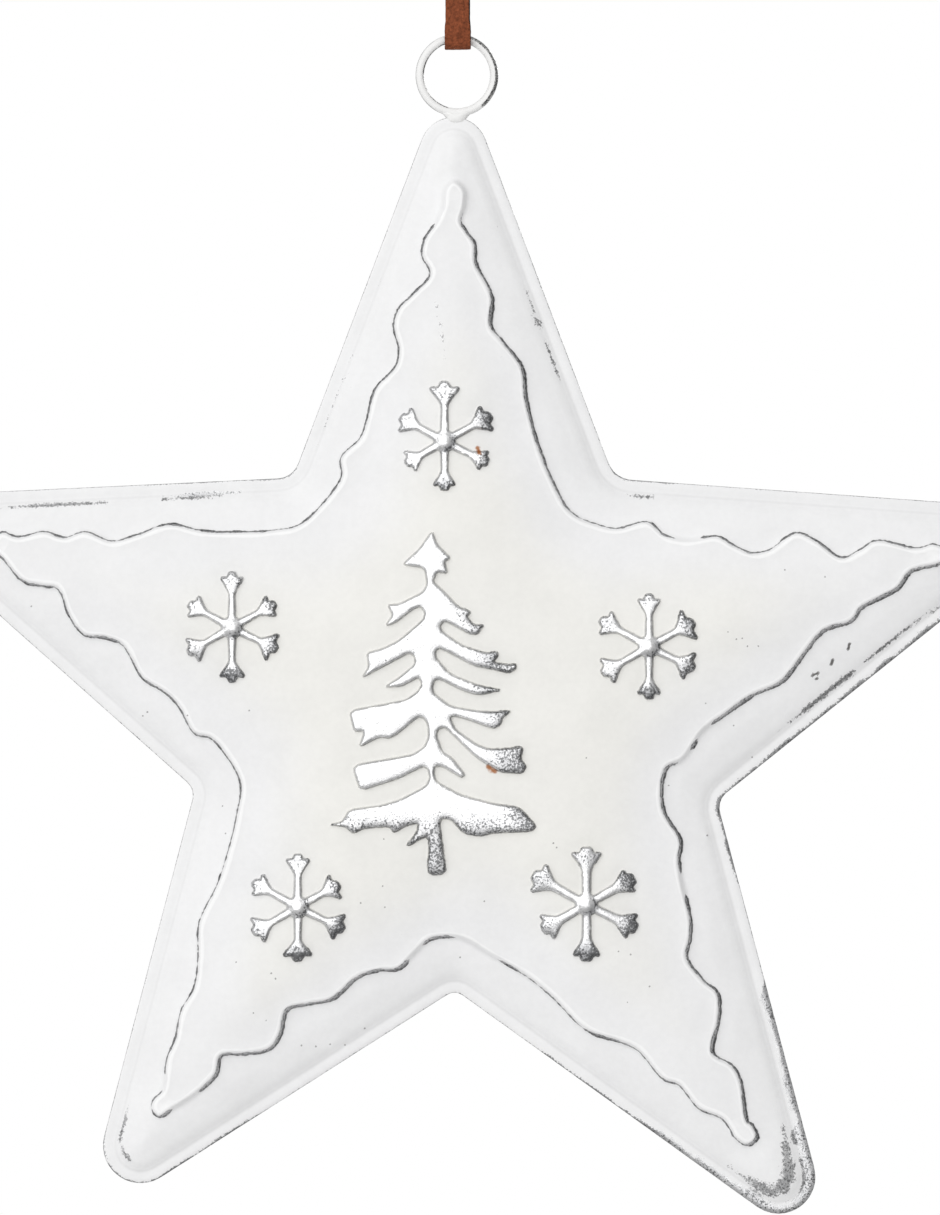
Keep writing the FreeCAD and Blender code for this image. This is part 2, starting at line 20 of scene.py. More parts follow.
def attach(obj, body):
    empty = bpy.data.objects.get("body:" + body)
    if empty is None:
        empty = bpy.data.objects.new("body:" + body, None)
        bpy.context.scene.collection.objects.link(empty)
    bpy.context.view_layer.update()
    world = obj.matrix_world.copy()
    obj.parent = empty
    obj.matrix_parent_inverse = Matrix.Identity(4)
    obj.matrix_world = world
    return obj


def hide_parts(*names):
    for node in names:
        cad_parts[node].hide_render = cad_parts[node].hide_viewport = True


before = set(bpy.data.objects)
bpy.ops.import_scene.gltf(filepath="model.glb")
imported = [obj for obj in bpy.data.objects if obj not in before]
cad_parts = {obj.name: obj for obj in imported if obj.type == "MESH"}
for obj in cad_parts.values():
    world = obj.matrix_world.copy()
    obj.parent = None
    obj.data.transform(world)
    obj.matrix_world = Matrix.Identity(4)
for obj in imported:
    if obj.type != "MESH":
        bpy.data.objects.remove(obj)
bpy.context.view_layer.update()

log = logging.getLogger("star")

MM = 0.001
STAR_Z = -188.24
RING_Z = -67.1

# Tables in thousandths are divided by this.
THOUSAND = 1000.0
# How far the star's grids reach from its centre: of the crown's heights, and of the mesh's points.
GRID_REACH = 130.0
STAR_REACH = 132.0
# Distances given where a place is far outside a motif, and where there is no wavy border.
FAR_OUTSIDE = -6.0
NO_BORDER = -9.0
# Wear that the cut edge has all round.
LEAST_WEAR = 0.08
# Step over which a form's slope is read, and the size of the cells in which points are sorted.
SLOPE_STEP = 0.2
CELL = 0.3
# Steps in each rounded corner of the outline, and the share at which a motif's corners are cut off.
ARC_STEPS = 12
CORNER_CUT = 0.14
# Rows of the mesh's points: in from the cut edge, then to both sides of the border and of a motif's edge.
RIM_ROWS = (0.12, 0.4, 1.0, 1.7, 2.2, 2.6, 3.0, 3.4, 3.8, 4.2, 4.8, 5.8, 7.2, 8.6)
WAVE_ROWS = (0.0, -0.3, 0.3, -0.6, 0.6, -0.95, 0.95)
MOTIF_ROWS = (0.0, 0.22, -0.22, 0.45, -0.45, 0.75, -0.8)
# The most distances that are worked out at once.
LARGEST_TABLE = 3_000_000

Point = tuple[float, float]
Point3 = tuple[float, float, float]
Colour = tuple[float, float, float]


class Body(Enum):
    """The rigid bodies that pieces ride on."""

    STAR = "star"
    LACE = "lace"


class Slot(Enum):
    """The record's material slots."""

    TIN = "white_tin"
    SEAM = "solder"
    WIRE = "white_wire"
    FILLET = "white_solder"
    LACE = "lace"


# Outline of the star: bearing in degrees and reach of each sharp tip and notch, clockwise from the top.
TIPS = ((90.29, 124.825), (17.72, 124.2875), (-55.44, 128.95), (-126.01, 122.325), (160.21, 119.475))
NOTCHES = ((55.75, 53.329), (-19.19, 52.47), (-90.41, 53.339), (-163.14, 52.168), (125.27, 54.219))
TIP_RADII = (6.44, 7.0, 7.0, 7.14, 7.0)
NOTCH_RADII = (5.2, 3.6, 2.6, 3.2, 4.4)

# Wavy border: along each edge from notch to sharp tip, and the inset there, in thousandths.
WAVE_UP = (
    ((30, 880), (80, 740), (131, 940), (171, 950), (242, 880), (287, 1020), (313, 1100), (349, 1040),
     (392, 790), (433, 760), (475, 920), (528, 1090), (562, 810), (599, 750), (638, 830), (680, 850),
     (714, 770)),
    ((-25, 920), (18, 950), (76, 790), (116, 1020), (167, 1080), (226, 970), (265, 1120), (306, 1240),
     (346, 1140), (396, 800), (444, 940), (496, 1210), (537, 1040), (575, 830), (655, 930), (694, 830)),
    ((-14, 1050), (57, 880), (98, 1010), (147, 1060), (218, 1080), (257, 1170), (298, 1340), (351, 1150),
     (388, 940), (440, 1060), (499, 1330), (538, 1030), (579, 950), (651, 1030), (668, 950), (694, 920)),
    ((-21, 1080), (28, 1030), (79, 940), (119, 1110), (170, 1220), (240, 1130), (289, 1280), (341, 1420),
     (381, 1120), (421, 970), (472, 1140), (521, 1360), (554, 1110), (617, 1000), (681, 1000)),
    ((3, 910), (50, 950), (90, 810), (149, 990), (198, 1020), (258, 940), (309, 1090), (344, 1160),
     (385, 1030), (425, 810), (479, 910), (534, 1140), (569, 980), (612, 800), (672, 870), (701, 880)),
)
WAVE_DOWN = (
    ((712, 730), (678, 850), (653, 1010), (625, 980), (592, 920), (549, 1030), (475, 960), (415, 1180),
     (374, 1090), (302, 910), (233, 1050), (141, 1140), (50, 1140), (-35, 1020)),
    ((697, 890), (637, 1120), (588, 1030), (508, 1170), (468, 1090), (409, 1280), (337, 1150), (270, 1020),
     (199, 1170), (140, 1200), (70, 1220), (1, 1040), (-47, 1090)),
    ((659, 850), (640, 930), (610, 1000), (560, 900), (500, 1040), (460, 960), (389, 1120), (340, 1040),
     (269, 860), (177, 990), (98, 1030), (18, 950), (-52, 890)),
    ((703, 770), (682, 750), (652, 880), (589, 800), (540, 860), (479, 830), (419, 960), (349, 880),
     (279, 740), (188, 890), (98, 930), (28, 910), (-42, 820)),
    ((686, 790), (648, 900), (589, 820), (540, 950), (491, 860), (432, 1060), (373, 970), (294, 790),
     (215, 950), (127, 1000), (58, 1000), (-22, 870)),
)
FINGER_ENDS = ((24.1, 0.0), (26.25, 0.0), (29.53, 1.45), (26.52, 0.37), (25.625, 0.0))
WAVE_INSET = 10.0

# Fir tree: across and down from its apex, in thousandths of its height.
TREE_APEX = (-4.75, 34.125)
TREE_HEIGHT = 65.4
TREE_OUTLINE = (
    (0, 0), (16, 41), (55, 79), (37, 89), (46, 124), (16, 119), (3, 147), (37, 178), (76, 220), (113, 234),
    (102, 250), (122, 273), (151, 273), (132, 301), (108, 299), (37, 261), (23, 277), (32, 294), (87, 333),
    (157, 355), (188, 350), (193, 361), (178, 382), (227, 389), (244, 385), (244, 403), (223, 413),
    (164, 399), (122, 392), (23, 340), (11, 350), (13, 371), (55, 417), (136, 449), (206, 462), (136, 477),
    (94, 466), (23, 431), (9, 434), (2, 452), (6, 473), (55, 510), (136, 524), (178, 526), (232, 521),
    (206, 543), (199, 564), (178, 575), (100, 547), (66, 538), (52, 541), (69, 578), (129, 620), (164, 633),
    (206, 633), (265, 626), (258, 663), (275, 684), (262, 705), (199, 701), (129, 659), (58, 589),
    (37, 571), (20, 575), (13, 592), (30, 642), (58, 659), (97, 708), (86, 717), (30, 684), (9, 684),
    (6, 705), (13, 729), (86, 768), (178, 792), (255, 803), (303, 856), (290, 873), (178, 877), (139, 887),
    (94, 880), (55, 838), (30, 835), (22, 852), (41, 985), (30, 998), (2, 1000), (-13, 989), (-8, 901),
    (-19, 887), (-64, 914), (-73, 912), (-43, 873), (-40, 849), (-75, 856), (-110, 877), (-124, 859),
    (-194, 863), (-229, 879), (-254, 859), (-299, 854), (-261, 845), (-240, 810), (-152, 799), (-96, 783),
    (-19, 743), (-6, 719), (-12, 691), (-26, 684), (-96, 719), (-208, 755), (-229, 691), (-212, 677),
    (-103, 659), (-54, 649), (-22, 628), (-10, 599), (-12, 564), (-22, 545), (-40, 540), (-103, 592),
    (-124, 603), (-152, 599), (-212, 629), (-196, 582), (-226, 582), (-240, 522), (-124, 501), (-75, 491),
    (-40, 466), (-29, 445), (-38, 425), (-89, 452), (-139, 454), (-96, 427), (-50, 389), (-50, 364),
    (-68, 355), (-131, 389), (-205, 428), (-184, 396), (-189, 354), (-145, 343), (-96, 319), (-26, 259),
    (-20, 238), (-33, 220), (-54, 227), (-110, 270), (-135, 275), (-114, 245), (-129, 215), (-96, 213),
    (-26, 178), (-14, 154), (-22, 108), (-79, 99), (-82, 94), (-36, 52),
)

# Snowflakes: centres, then clockwise from the upper arm every flake's bearings, each arm's length and the
# half width of its head, and the stems' half width, as shares of the radius.
FLAKES = ((-2.375, 51.125), (36.5, 12.125), (24.625, -36.875), (-30.25, -37.375), (-42.75, 15.75))
FLAKE_RADIUS = 10.2
FLAKE_BEARINGS = (90.0, 29.0, -26.0, -90.0, -150.0, 151.0)
FLAKE_REACHES = (
    (1.12, 1.0, 0.91, 0.91, 0.83, 0.94), (0.98, 0.96, 0.94, 0.98, 1.01, 1.04),
    (1.07, 1.02, 1.04, 1.06, 0.95, 1.15), (0.99, 0.89, 0.96, 1.01, 0.97, 0.96),
    (1.04, 0.93, 0.94, 1.02, 0.95, 0.92),
)
FLAKE_HEADS = (
    (0.28, 0.26, 0.19, 0.2, 0.21, 0.25), (0.21, 0.31, 0.27, 0.21, 0.26, 0.24),
    (0.28, 0.23, 0.25, 0.25, 0.26, 0.29), (0.22, 0.25, 0.26, 0.27, 0.26, 0.22),
    (0.21, 0.21, 0.27, 0.23, 0.25, 0.22),
)
FLAKE_STEMS = (0.062, 0.06, 0.085, 0.06, 0.055)
FLAKE_ARM = ((0.6, 0.0), (0.7, 0.3), (0.87, 1.0), (0.91, 0.9), (0.9, 0.3), (1.0, 0.0))
FLAKE_HUB = 0.15

# Worn cut edge: a line, how far the wear reaches along the sheet from it, and how bare it is.
EDGE_WEAR = (
    (((7.9, 94.0), (13.2, 79.0)), 1.6, 0.42),
    (((15.9, 72.3), (18.7, 64.8)), 1.6, 0.48),
    (((20.2, 61.0), (22.2, 56.0)), 1.6, 0.35),
    (((30.6, 44.3), (39.7, 43.2)), 1.6, 0.3),
    (((93.1, 17.7), (76.9, 3.8), (61.6, -8.0), (50.2, -17.2)), 3.0, 0.6),
    (((50.2, -18.1), (53.4, -29.6)), 3.0, 0.5),
    (((59.4, -55.3), (65.5, -78.2)), 3.0, 0.78),
    (((66.3, -81.0), (68.9, -90.1), (67.9, -93.0)), 3.0, 1.25),
    (((67.9, -93.0), (64.5, -96.0), (59.7, -95.8)), 3.0, 0.95),
    (((59.7, -95.8), (52.0, -90.7)), 2.5, 1.0),
    (((52.0, -90.7), (46.4, -86.8), (40.2, -82.3)), 2.5, 0.75),
    (((40.2, -82.3), (34.2, -77.3)), 3.0, 0.45),
    (((27.7, -72.9), (18.9, -66.8)), 3.0, 0.35),
    (((-67.0, -83.2), (-64.3, -88.2), (-58.6, -90.1), (-49.0, -84.9), (-41.0, -79.0)), 3.0, 0.35),
    (((-56.7, 42.6), (-31.9, 43.5)), 3.0, 0.25),
)
# Worn ridge: a line, half its width, and how bare it is.
RIDGE_WEAR = (
    (((7.6, 93.3), (8.5, 90.8)), 0.3, 0.65),
    (((12.8, 80.6), (14.7, 75.4)), 0.3, 0.6),
    (((-4.2, 77.6), (-3.0, 71.0), (-1.9, 65.3)), 0.45, 0.6),
    (((-13.2, 85.0), (-19.5, 68.5), (-27.0, 50.0)), 0.22, 0.52),
    (((15.2, 74.6), (15.8, 73.4)), 0.7, 0.65),
    (((16.8, 70.1), (19.9, 62.5)), 0.3, 0.7),
    (((-90.0, 38.0), (-78.6, 39.0), (-71.8, 39.4), (-66.7, 39.7)), 0.3, 0.9),
    (((-56.2, 40.4), (-51.4, 40.8)), 0.35, 1.2),
    (((-51.4, 40.8), (-47.6, 41.1), (-45.0, 41.2)), 0.42, 1.6),
    (((-45.0, 41.2), (-41.4, 41.4)), 0.3, 1.2),
    (((33.0, 41.0), (37.8, 40.7)), 0.3, 0.85),
    (((92.2, 19.9), (85.0, 15.0), (77.9, 9.2)), 0.35, 0.85),
    (((75.6, 7.3), (70.5, 3.2), (66.2, -0.2)), 0.5, 1.0),
    (((66.2, -0.2), (60.9, -4.7)), 0.3, 0.75),
    (((62.0, -79.5), (62.6, -83.0)), 0.45, 0.85),
    (((62.6, -83.0), (63.2, -86.5)), 0.8, 1.0),
    (((63.2, -86.5), (63.2, -89.0), (62.2, -90.9)), 1.1, 1.15),
    (((62.2, -90.9), (60.1, -91.9), (57.9, -91.0)), 1.1, 0.8),
    (((57.9, -91.0), (55.2, -89.3)), 0.7, 0.72),
    (((55.2, -89.3), (51.6, -86.6)), 0.4, 0.68),
    (((-61.7, -69.3), (-63.2, -77.0)), 0.25, 0.7),
    (((-63.2, -77.0), (-64.2, -82.3), (-63.3, -84.9), (-62.2, -85.7)), 0.35, 0.95),
)
# Small dark specks, larger chips and rust dots in the paint.
SPECKS = (
    (-81.1, 19.8), (-59.9, -1.1), (-59.0, -0.4), (-51.3, -1.0), (-39.5, 0.0), (-44.7, -18.3),
    (-44.1, -23.5), (70.0, 25.4), (62.4, 26.7), (51.5, 14.9), (53.1, 13.5), (54.2, 13.7), (55.2, 12.2),
    (57.3, 12.2), (47.3, 1.3), (52.7, -2.9), (56.3, -9.0), (40.3, -14.3), (26.7, -45.8), (30.7, -45.8),
    (33.0, -46.4), (36.6, -52.5), (32.4, -55.5), (18.3, -25.2), (18.9, -26.0), (24.6, -9.0), (5.2, -36.3),
    (47.7, -23.9), (-42.0, -47.9), (-35.3, -50.0), (-34.5, -51.0), (-36.3, -59.0), (-38.7, -57.6),
    (-14.1, -33.4), (-18.3, -36.6), (-13.7, -37.4), (-17.6, -60.7), (0.6, -47.1), (-29.6, -63.9),
    (-26.9, -64.1), (-24.2, -63.7), (-21.4, -63.9), (-13.9, -24.4),
)
CHIPS = (
    ((74.9, 12.8), (74.4, 11.5)), ((71.7, 9.7), (71.2, 8.6)), ((68.9, 7.2), (67.6, 6.5)),
    ((68.7, 6.1), (68.4, 5.9)),
)
RUST = (((5.9, -10.7), (7.2, -11.6)), ((3.9, 49.9), (4.2, 49.0)))
# Places where paint covers the line along the wavy border, and how far round them.
COVERED = (
    ((-2.9, 97.0), 4.2), ((1.0, 97.6), 4.6), ((44.0, 32.3), 2.5), ((42.1, -33.2), 2.5), ((4.0, -45.0), 5.0),
    ((-8.1, -45.8), 2.2), ((-51.5, -74.6), 3.2), ((-55.5, -71.0), 1.5), ((46.8, -3.9), 2.2),
    ((42.6, -8.4), 2.2),
)
SPECK_LINES = tuple((spot, spot) for spot in SPECKS)


def smoothstep(low: float, high: float, value: np.ndarray) -> np.ndarray:
    """Ease from 0 at low to 1 at high."""
    t = np.clip((value - low) / (high - low), 0.0, 1.0)
    return t * t * (3.0 - 2.0 * t)


def heading(bearing: float) -> np.ndarray:
    """Give the unit vector at a bearing in degrees."""
    turn = math.radians(bearing)
    return np.array((math.cos(turn), math.sin(turn)))


def unit(run: np.ndarray) -> np.ndarray:
    """Scale a direction to length 1."""
    return run / np.linalg.norm(run)


def resample(loop: np.ndarray, step: float) -> np.ndarray:
    """Space points evenly along a closed line.

    Args:
        loop: The line's corners.
        step: The distance between points.

    Returns:
        The new points, of which the first is the line's first.
    """
    runs = np.linalg.norm(np.roll(loop, -1, axis=0) - loop, axis=1)
    total = np.concatenate(([0.0], np.cumsum(runs)))
    count = max(8, round(total[-1] / step))
    places = np.arange(count) * total[-1] / count
    closed = np.vstack((loop, loop[:1]))
    return np.column_stack([np.interp(places, total, closed[:, axis]) for axis in (0, 1)])


def spline(stations: np.ndarray, steps: int) -> np.ndarray:
    """Run a smooth closed line through stations.

    Args:
        stations: The places it passes.
        steps: How many points it gets between two of them.

    Returns:
        The line's points.
    """
    before, after, later = (np.roll(stations, shift, axis=0) for shift in (1, -1, -2))
    rows = []
    for step in range(steps):
        t = step / steps
        rows.append(0.5 * (2 * stations + (after - before) * t
                           + (2 * before - 5 * stations + 4 * after - later) * t ** 2
                           + (3 * stations - before - 3 * after + later) * t ** 3))
    return np.stack(rows, axis=1).reshape(-1, 2)


def offset(loop: np.ndarray, inset: float) -> np.ndarray:
    """Move a clockwise closed line's points inwards, square to the line.

    Args:
        loop: The line's points.
        inset: How far, outwards where it is negative.

    Returns:
        The moved points.
    """
    along = np.roll(loop, -1, axis=0) - np.roll(loop, 1, axis=0)
    along /= np.maximum(np.linalg.norm(along, axis=1, keepdims=True), 1e-9)
    return loop + np.column_stack((along[:, 1], -along[:, 0])) * inset


def signed_distance(places: np.ndarray, loop: np.ndarray) -> np.ndarray:
    """Measure how far places lie inside a closed line.

    Args:
        places: The places to measure.
        loop: The line's corners.

    Returns:
        A distance for each place, negative outside.
    """
    run = np.roll(loop, -1, axis=0) - loop
    length = np.maximum((run ** 2).sum(axis=1), 1e-12)
    rise = np.where(run[:, 1] == 0, 1e-12, run[:, 1])
    result = np.empty(len(places))
    chunk = max(1, LARGEST_TABLE // len(loop))
    for first in range(0, len(places), chunk):
        spot = places[first:first + chunk]
        to_x = spot[:, :1] - loop[:, 0]
        to_z = spot[:, 1:] - loop[:, 1]
        share = np.clip((to_x * run[:, 0] + to_z * run[:, 1]) / length, 0.0, 1.0)
        gap = np.hypot(to_x - share * run[:, 0], to_z - share * run[:, 1]).min(axis=1)
        above = loop[:, 1] > spot[:, 1:]
        crosses = above != np.roll(above, -1, axis=1)
        side = to_x < run[:, 0] * to_z / rise
        inside = (crosses & side).sum(axis=1) % 2 == 1
        result[first:first + chunk] = np.where(inside, gap, -gap)
    return result


def line_distance(places: np.ndarray, line: tuple[Point, ...]) -> np.ndarray:
    """Measure the distance from places to an open line.

    Args:
        places: The places to measure.
        line: The line's points.

    Returns:
        A distance for each place.
    """
    nearest = np.full(len(places), 1e9)
    for start, end in zip(line, line[1:]):
        run = np.subtract(end, start)
        away = places - np.array(start)
        share = np.clip(away @ run / max(run @ run, 1e-9), 0.0, 1.0)
        nearest = np.minimum(nearest, np.hypot(*(away - share[:, None] * run).T))
    return nearest


def facing(measure: Callable[[np.ndarray], np.ndarray], places: np.ndarray,
           here: np.ndarray) -> np.ndarray:
    """Say how far a form's edge faces the lower right.

    Args:
        measure: Gives how far places lie inside the form.
        places: Where.
        here: What it gives there.

    Returns:
        A value for each place, from -1 to 1.
    """
    across = measure(places + (SLOPE_STEP, 0.0)) - here
    up = measure(places + (0.0, SLOPE_STEP)) - here
    return np.clip((up * 0.6 - across * 0.8) / SLOPE_STEP, -1.0, 1.0)


def waver(places: np.ndarray, size: float, seed: int, count: int = 7) -> np.ndarray:
    """Give an uneven, repeatable field between about -1 and 1, from slanted waves.

    Args:
        places: Where to read it.
        size: The usual length of its waves.
        seed: Which field.
        count: How many waves it adds.

    Returns:
        A value for each place.
    """
    chance = np.random.default_rng(seed)
    total = np.zeros(len(places))
    for _ in range(count):
        turn = chance.uniform(0, 2 * math.pi)
        pitch = 2 * math.pi / (size * chance.uniform(0.6, 1.7))
        phase = chance.uniform(0, 2 * math.pi)
        total += np.sin(places @ np.array((math.cos(turn), math.sin(turn))) * pitch + phase)
    return total / math.sqrt(count) / 1.2


@dataclass
class StarPlan:
    """The star's flat outlines, in millimetres from its centre."""

    corners: np.ndarray = field(init=False)
    outline: np.ndarray = field(init=False)
    wave: np.ndarray = field(init=False)
    tree: np.ndarray = field(init=False)
    flakes: list[np.ndarray] = field(init=False)

    def __post_init__(self) -> None:
        """Work out every outline."""
        pairs = zip(TIPS, NOTCHES)
        self.corners = np.array([heading(bearing) * reach for pair in pairs for bearing, reach in pair])
        self.outline = self.rounded()
        self.wave = spline(self.wave_stations(), 6)
        tree = np.array(TREE_OUTLINE) * (1, -1) / THOUSAND * TREE_HEIGHT + TREE_APEX
        self.tree = self.softened(tree)
        self.flakes = [self.softened(self.flake(flake)) for flake in range(len(FLAKES))]

    def rounded(self) -> np.ndarray:
        """Round the outline's corners with arcs.

        Returns:
            The outline's points.
        """
        points = []
        count = len(self.corners)
        for index, corner in enumerate(self.corners):
            radius = (NOTCH_RADII if index % 2 else TIP_RADII)[index // 2]
            back = unit(self.corners[index - 1] - corner)
            ahead = unit(self.corners[(index + 1) % count] - corner)
            half = math.acos(float(np.clip(back @ ahead, -1, 1))) / 2
            centre = corner + unit(back + ahead) * radius / math.sin(half)
            start = corner + back * radius / math.tan(half) - centre
            end = corner + ahead * radius / math.tan(half) - centre
            first = math.atan2(start[1], start[0])
            turn = math.atan2(end[1], end[0]) - first
            turn = (turn + math.pi) % (2 * math.pi) - math.pi
            for step in range(ARC_STEPS + 1):
                angle = first + turn * step / ARC_STEPS
                points.append(centre + np.array((math.cos(angle), math.sin(angle))) * radius)
        return np.array(points)

    def wave_stations(self) -> np.ndarray:
        """List the wavy border's places, clockwise from the top arm's left notch.

        Returns:
            The places.
        """
        points = []
        for arm, (down, across) in enumerate(FINGER_ENDS):
            before, tip, after = (self.corners[2 * arm + place] for place in (-1, 0, 1))
            sides = ((before, tip - before, WAVE_UP[arm]), (after, after - tip, WAVE_DOWN[arm]))
            for notch, run, table in sides:
                inward = np.array((run[1], -run[0])) / np.linalg.norm(run)
                for along, inset in table:
                    spot = notch + (tip - notch) * (along / THOUSAND)
                    points.append(spot + inward * WAVE_INSET * (inset / THOUSAND))
                if notch is before:
                    axis = unit(unit(before - tip) + unit(after - tip))
                    points.append(tip + axis * down + np.array((-axis[1], axis[0])) * across)
        return np.array(points)

    @staticmethod
    def flake(flake: int) -> np.ndarray:
        """Give one snowflake's outline: arms that widen to a barbed end.

        Args:
            flake: Which snowflake.

        Returns:
            The outline's corners.
        """
        centre = np.array(FLAKES[flake])
        stem = FLAKE_STEMS[flake]
        points = []
        for arm, bearing in enumerate(FLAKE_BEARINGS):
            spread = FLAKE_HEADS[flake][arm] - stem
            along = heading(bearing) * FLAKE_RADIUS * FLAKE_REACHES[flake][arm]
            across = heading(bearing + 90.0) * FLAKE_RADIUS
            for side, steps in ((1, FLAKE_ARM), (-1, reversed(FLAKE_ARM))):
                for run, widening in steps:
                    points.append(centre + along * run + across * (stem + spread * widening) * side)
            between = heading(bearing) + heading(FLAKE_BEARINGS[(arm + 1) % len(FLAKE_BEARINGS)])
            points.append(centre + unit(between) * FLAKE_RADIUS * FLAKE_HUB)
        return np.array(points)

    @staticmethod
    def softened(loop: np.ndarray) -> np.ndarray:
        """Cut each corner of a closed line off, a small share along its runs.

        Args:
            loop: The line's corners.

        Returns:
            Two points for each corner.
        """
        after = np.roll(loop, -1, axis=0)
        near = loop * (1.0 - CORNER_CUT) + after * CORNER_CUT
        far = loop * CORNER_CUT + after * (1.0 - CORNER_CUT)
        return np.stack((near, far), axis=1).reshape(-1, 2)


@dataclass
class Relief:
    """The pressed form: how high the sheet stands above the seam at each place, in millimetres.

    Attributes:
        plan: The flat outlines.
        flange_face: Height of the flange's face.
        ridge_rise: Rise of the ridge.
        ridge_steps: Where the ridge's main step and its slow rest start and end, in from the cut edge.
        band_rise: Further rise over the sloping band.
        band: How far in the band starts, and how wide it is.
        crown_rise: Rise of the star's crowned middle.
        crown_run: How wide the crown's slope is.
        panel_rise: Step at the wavy border.
        tree_rise: Rise of the fir tree over the panel.
        flake_rise: Rise of the snowflakes over the panel.
    """

    plan: StarPlan
    flange_face: float = 0.5
    ridge_rise: float = 1.3
    ridge_steps: tuple[Point, Point] = ((2.15, 3.8), (2.5, 8.0))
    band_rise: float = 0.6
    band: Point = (3.8, 4.6)
    crown_rise: float = 3.0
    crown_run: float = 24.9
    panel_rise: float = 1.0
    tree_rise: float = 1.0
    flake_rise: float = 0.9
    crown: np.ndarray = field(init=False)

    def __post_init__(self) -> None:
        """Work out the crowned middle on a grid, softened where the arms' two slopes meet."""
        side = np.arange(-GRID_REACH, GRID_REACH + 1.0, 1.0)
        across, up = np.meshgrid(side, side)
        spots = np.column_stack((across.ravel(), up.ravel()))
        depth = signed_distance(spots, self.plan.outline).reshape(across.shape)
        share = np.clip((depth - sum(self.band)) / self.crown_run, 0.0, 1.0)
        height = self.crown_rise * (1.0 - (1.0 - share) ** 1.6)
        kernel = np.exp(-0.5 * (np.arange(-9, 10) / 3.0) ** 2)
        kernel /= kernel.sum()
        for axis in (0, 1):
            height = np.apply_along_axis(lambda row: np.convolve(row, kernel, mode="same"), axis, height)
        self.crown = height

    def crown_at(self, places: np.ndarray) -> np.ndarray:
        """Read the crown's rise between the grid's points.

        Args:
            places: Where.

        Returns:
            The rises.
        """
        spot = np.clip(places + GRID_REACH, 0.0, 2 * GRID_REACH - 1.0)
        column, row = spot.astype(int).T
        across, up = (spot - spot.astype(int)).T
        low = self.crown[row, column] * (1 - across) + self.crown[row, column + 1] * across
        high = self.crown[row + 1, column] * (1 - across) + self.crown[row + 1, column + 1] * across
        return low * (1 - up) + high * up

    def base(self, places: np.ndarray, depth: np.ndarray) -> np.ndarray:
        """Give the height of flange, ridge, band and crown.

        Args:
            places: Where.
            depth: How far inside the cut edge each place lies.

        Returns:
            The heights.
        """
        step, rest = self.ridge_steps
        height = np.full(len(places), self.flange_face)
        height += self.ridge_rise * (0.7 * smoothstep(*step, depth) + 0.3 * smoothstep(*rest, depth))
        height += self.band_rise * np.clip((depth - self.band[0]) / self.band[1], 0.0, 1.0)
        height += self.crown_at(places)
        return height + 0.09 * waver(places, 26.0, 4) * smoothstep(2.5, 10.0, depth)

    @staticmethod
    def inside_any(places: np.ndarray, loops: list[np.ndarray]) -> np.ndarray:
        """Measure how far places lie inside the nearest of some closed lines, no lower than -6.

        Args:
            places: The places to measure.
            loops: The closed lines.

        Returns:
            A distance for each place.
        """
        deep = np.full(len(places), FAR_OUTSIDE)
        for loop in loops:
            near = np.all((places > loop.min(axis=0) - 4.0) & (places < loop.max(axis=0) + 4.0), axis=1)
            if near.any():
                deep[near] = np.maximum(deep[near], signed_distance(places[near], loop))
        return deep

    def inside_motifs(self, places: np.ndarray) -> np.ndarray:
        """Measure how far places lie inside the tree or a snowflake."""
        return self.inside_any(places, [self.plan.tree, *self.plan.flakes])


class Field:
    """A number or colour that a material works out, so that sums read as plain arithmetic."""

    def __init__(self, net: "Net", socket: bpy.types.NodeSocket) -> None:
        """Wrap a node's output."""
        self.net = net
        self.socket = socket

    def math(self, way: str, *others: object) -> "Field":
        """Work out a sum of this and other numbers."""
        return self.net.join("ShaderNodeMath", dict(enumerate((self, *others))), operation=way)

    def __add__(self, other: object) -> "Field":
        """Add."""
        return self.math("ADD", other)

    def __sub__(self, other: object) -> "Field":
        """Subtract."""
        return self.math("SUBTRACT", other)

    def __mul__(self, other: object) -> "Field":
        """Multiply."""
        return self.math("MULTIPLY", other)

    def __truediv__(self, other: object) -> "Field":
        """Divide."""
        return self.math("DIVIDE", other)

    def __abs__(self) -> "Field":
        """Drop the sign."""
        return self.math("ABSOLUTE")

    def top(self, other: object) -> "Field":
        """Take the larger."""
        return self.math("MAXIMUM", other)

    def line(self, gain: object, start: object) -> "Field":
        """Multiply, then add."""
        return self.math("MULTIPLY_ADD", gain, start)

    def swing(self, amount: float) -> "Field":
        """Spread noise over an amount, half of it below nothing."""
        return self.line(amount, -amount / 2)

    def remap(self, low: float, high: float, to_low: float = 0.0, to_high: object = 1.0) -> "Field":
        """Map a range smoothly onto another."""
        feeds = {"Value": self, "From Min": low, "From Max": high, "To Min": to_low, "To Max": to_high}
        return self.net.join("ShaderNodeMapRange", feeds, "Result", interpolation_type="SMOOTHSTEP")


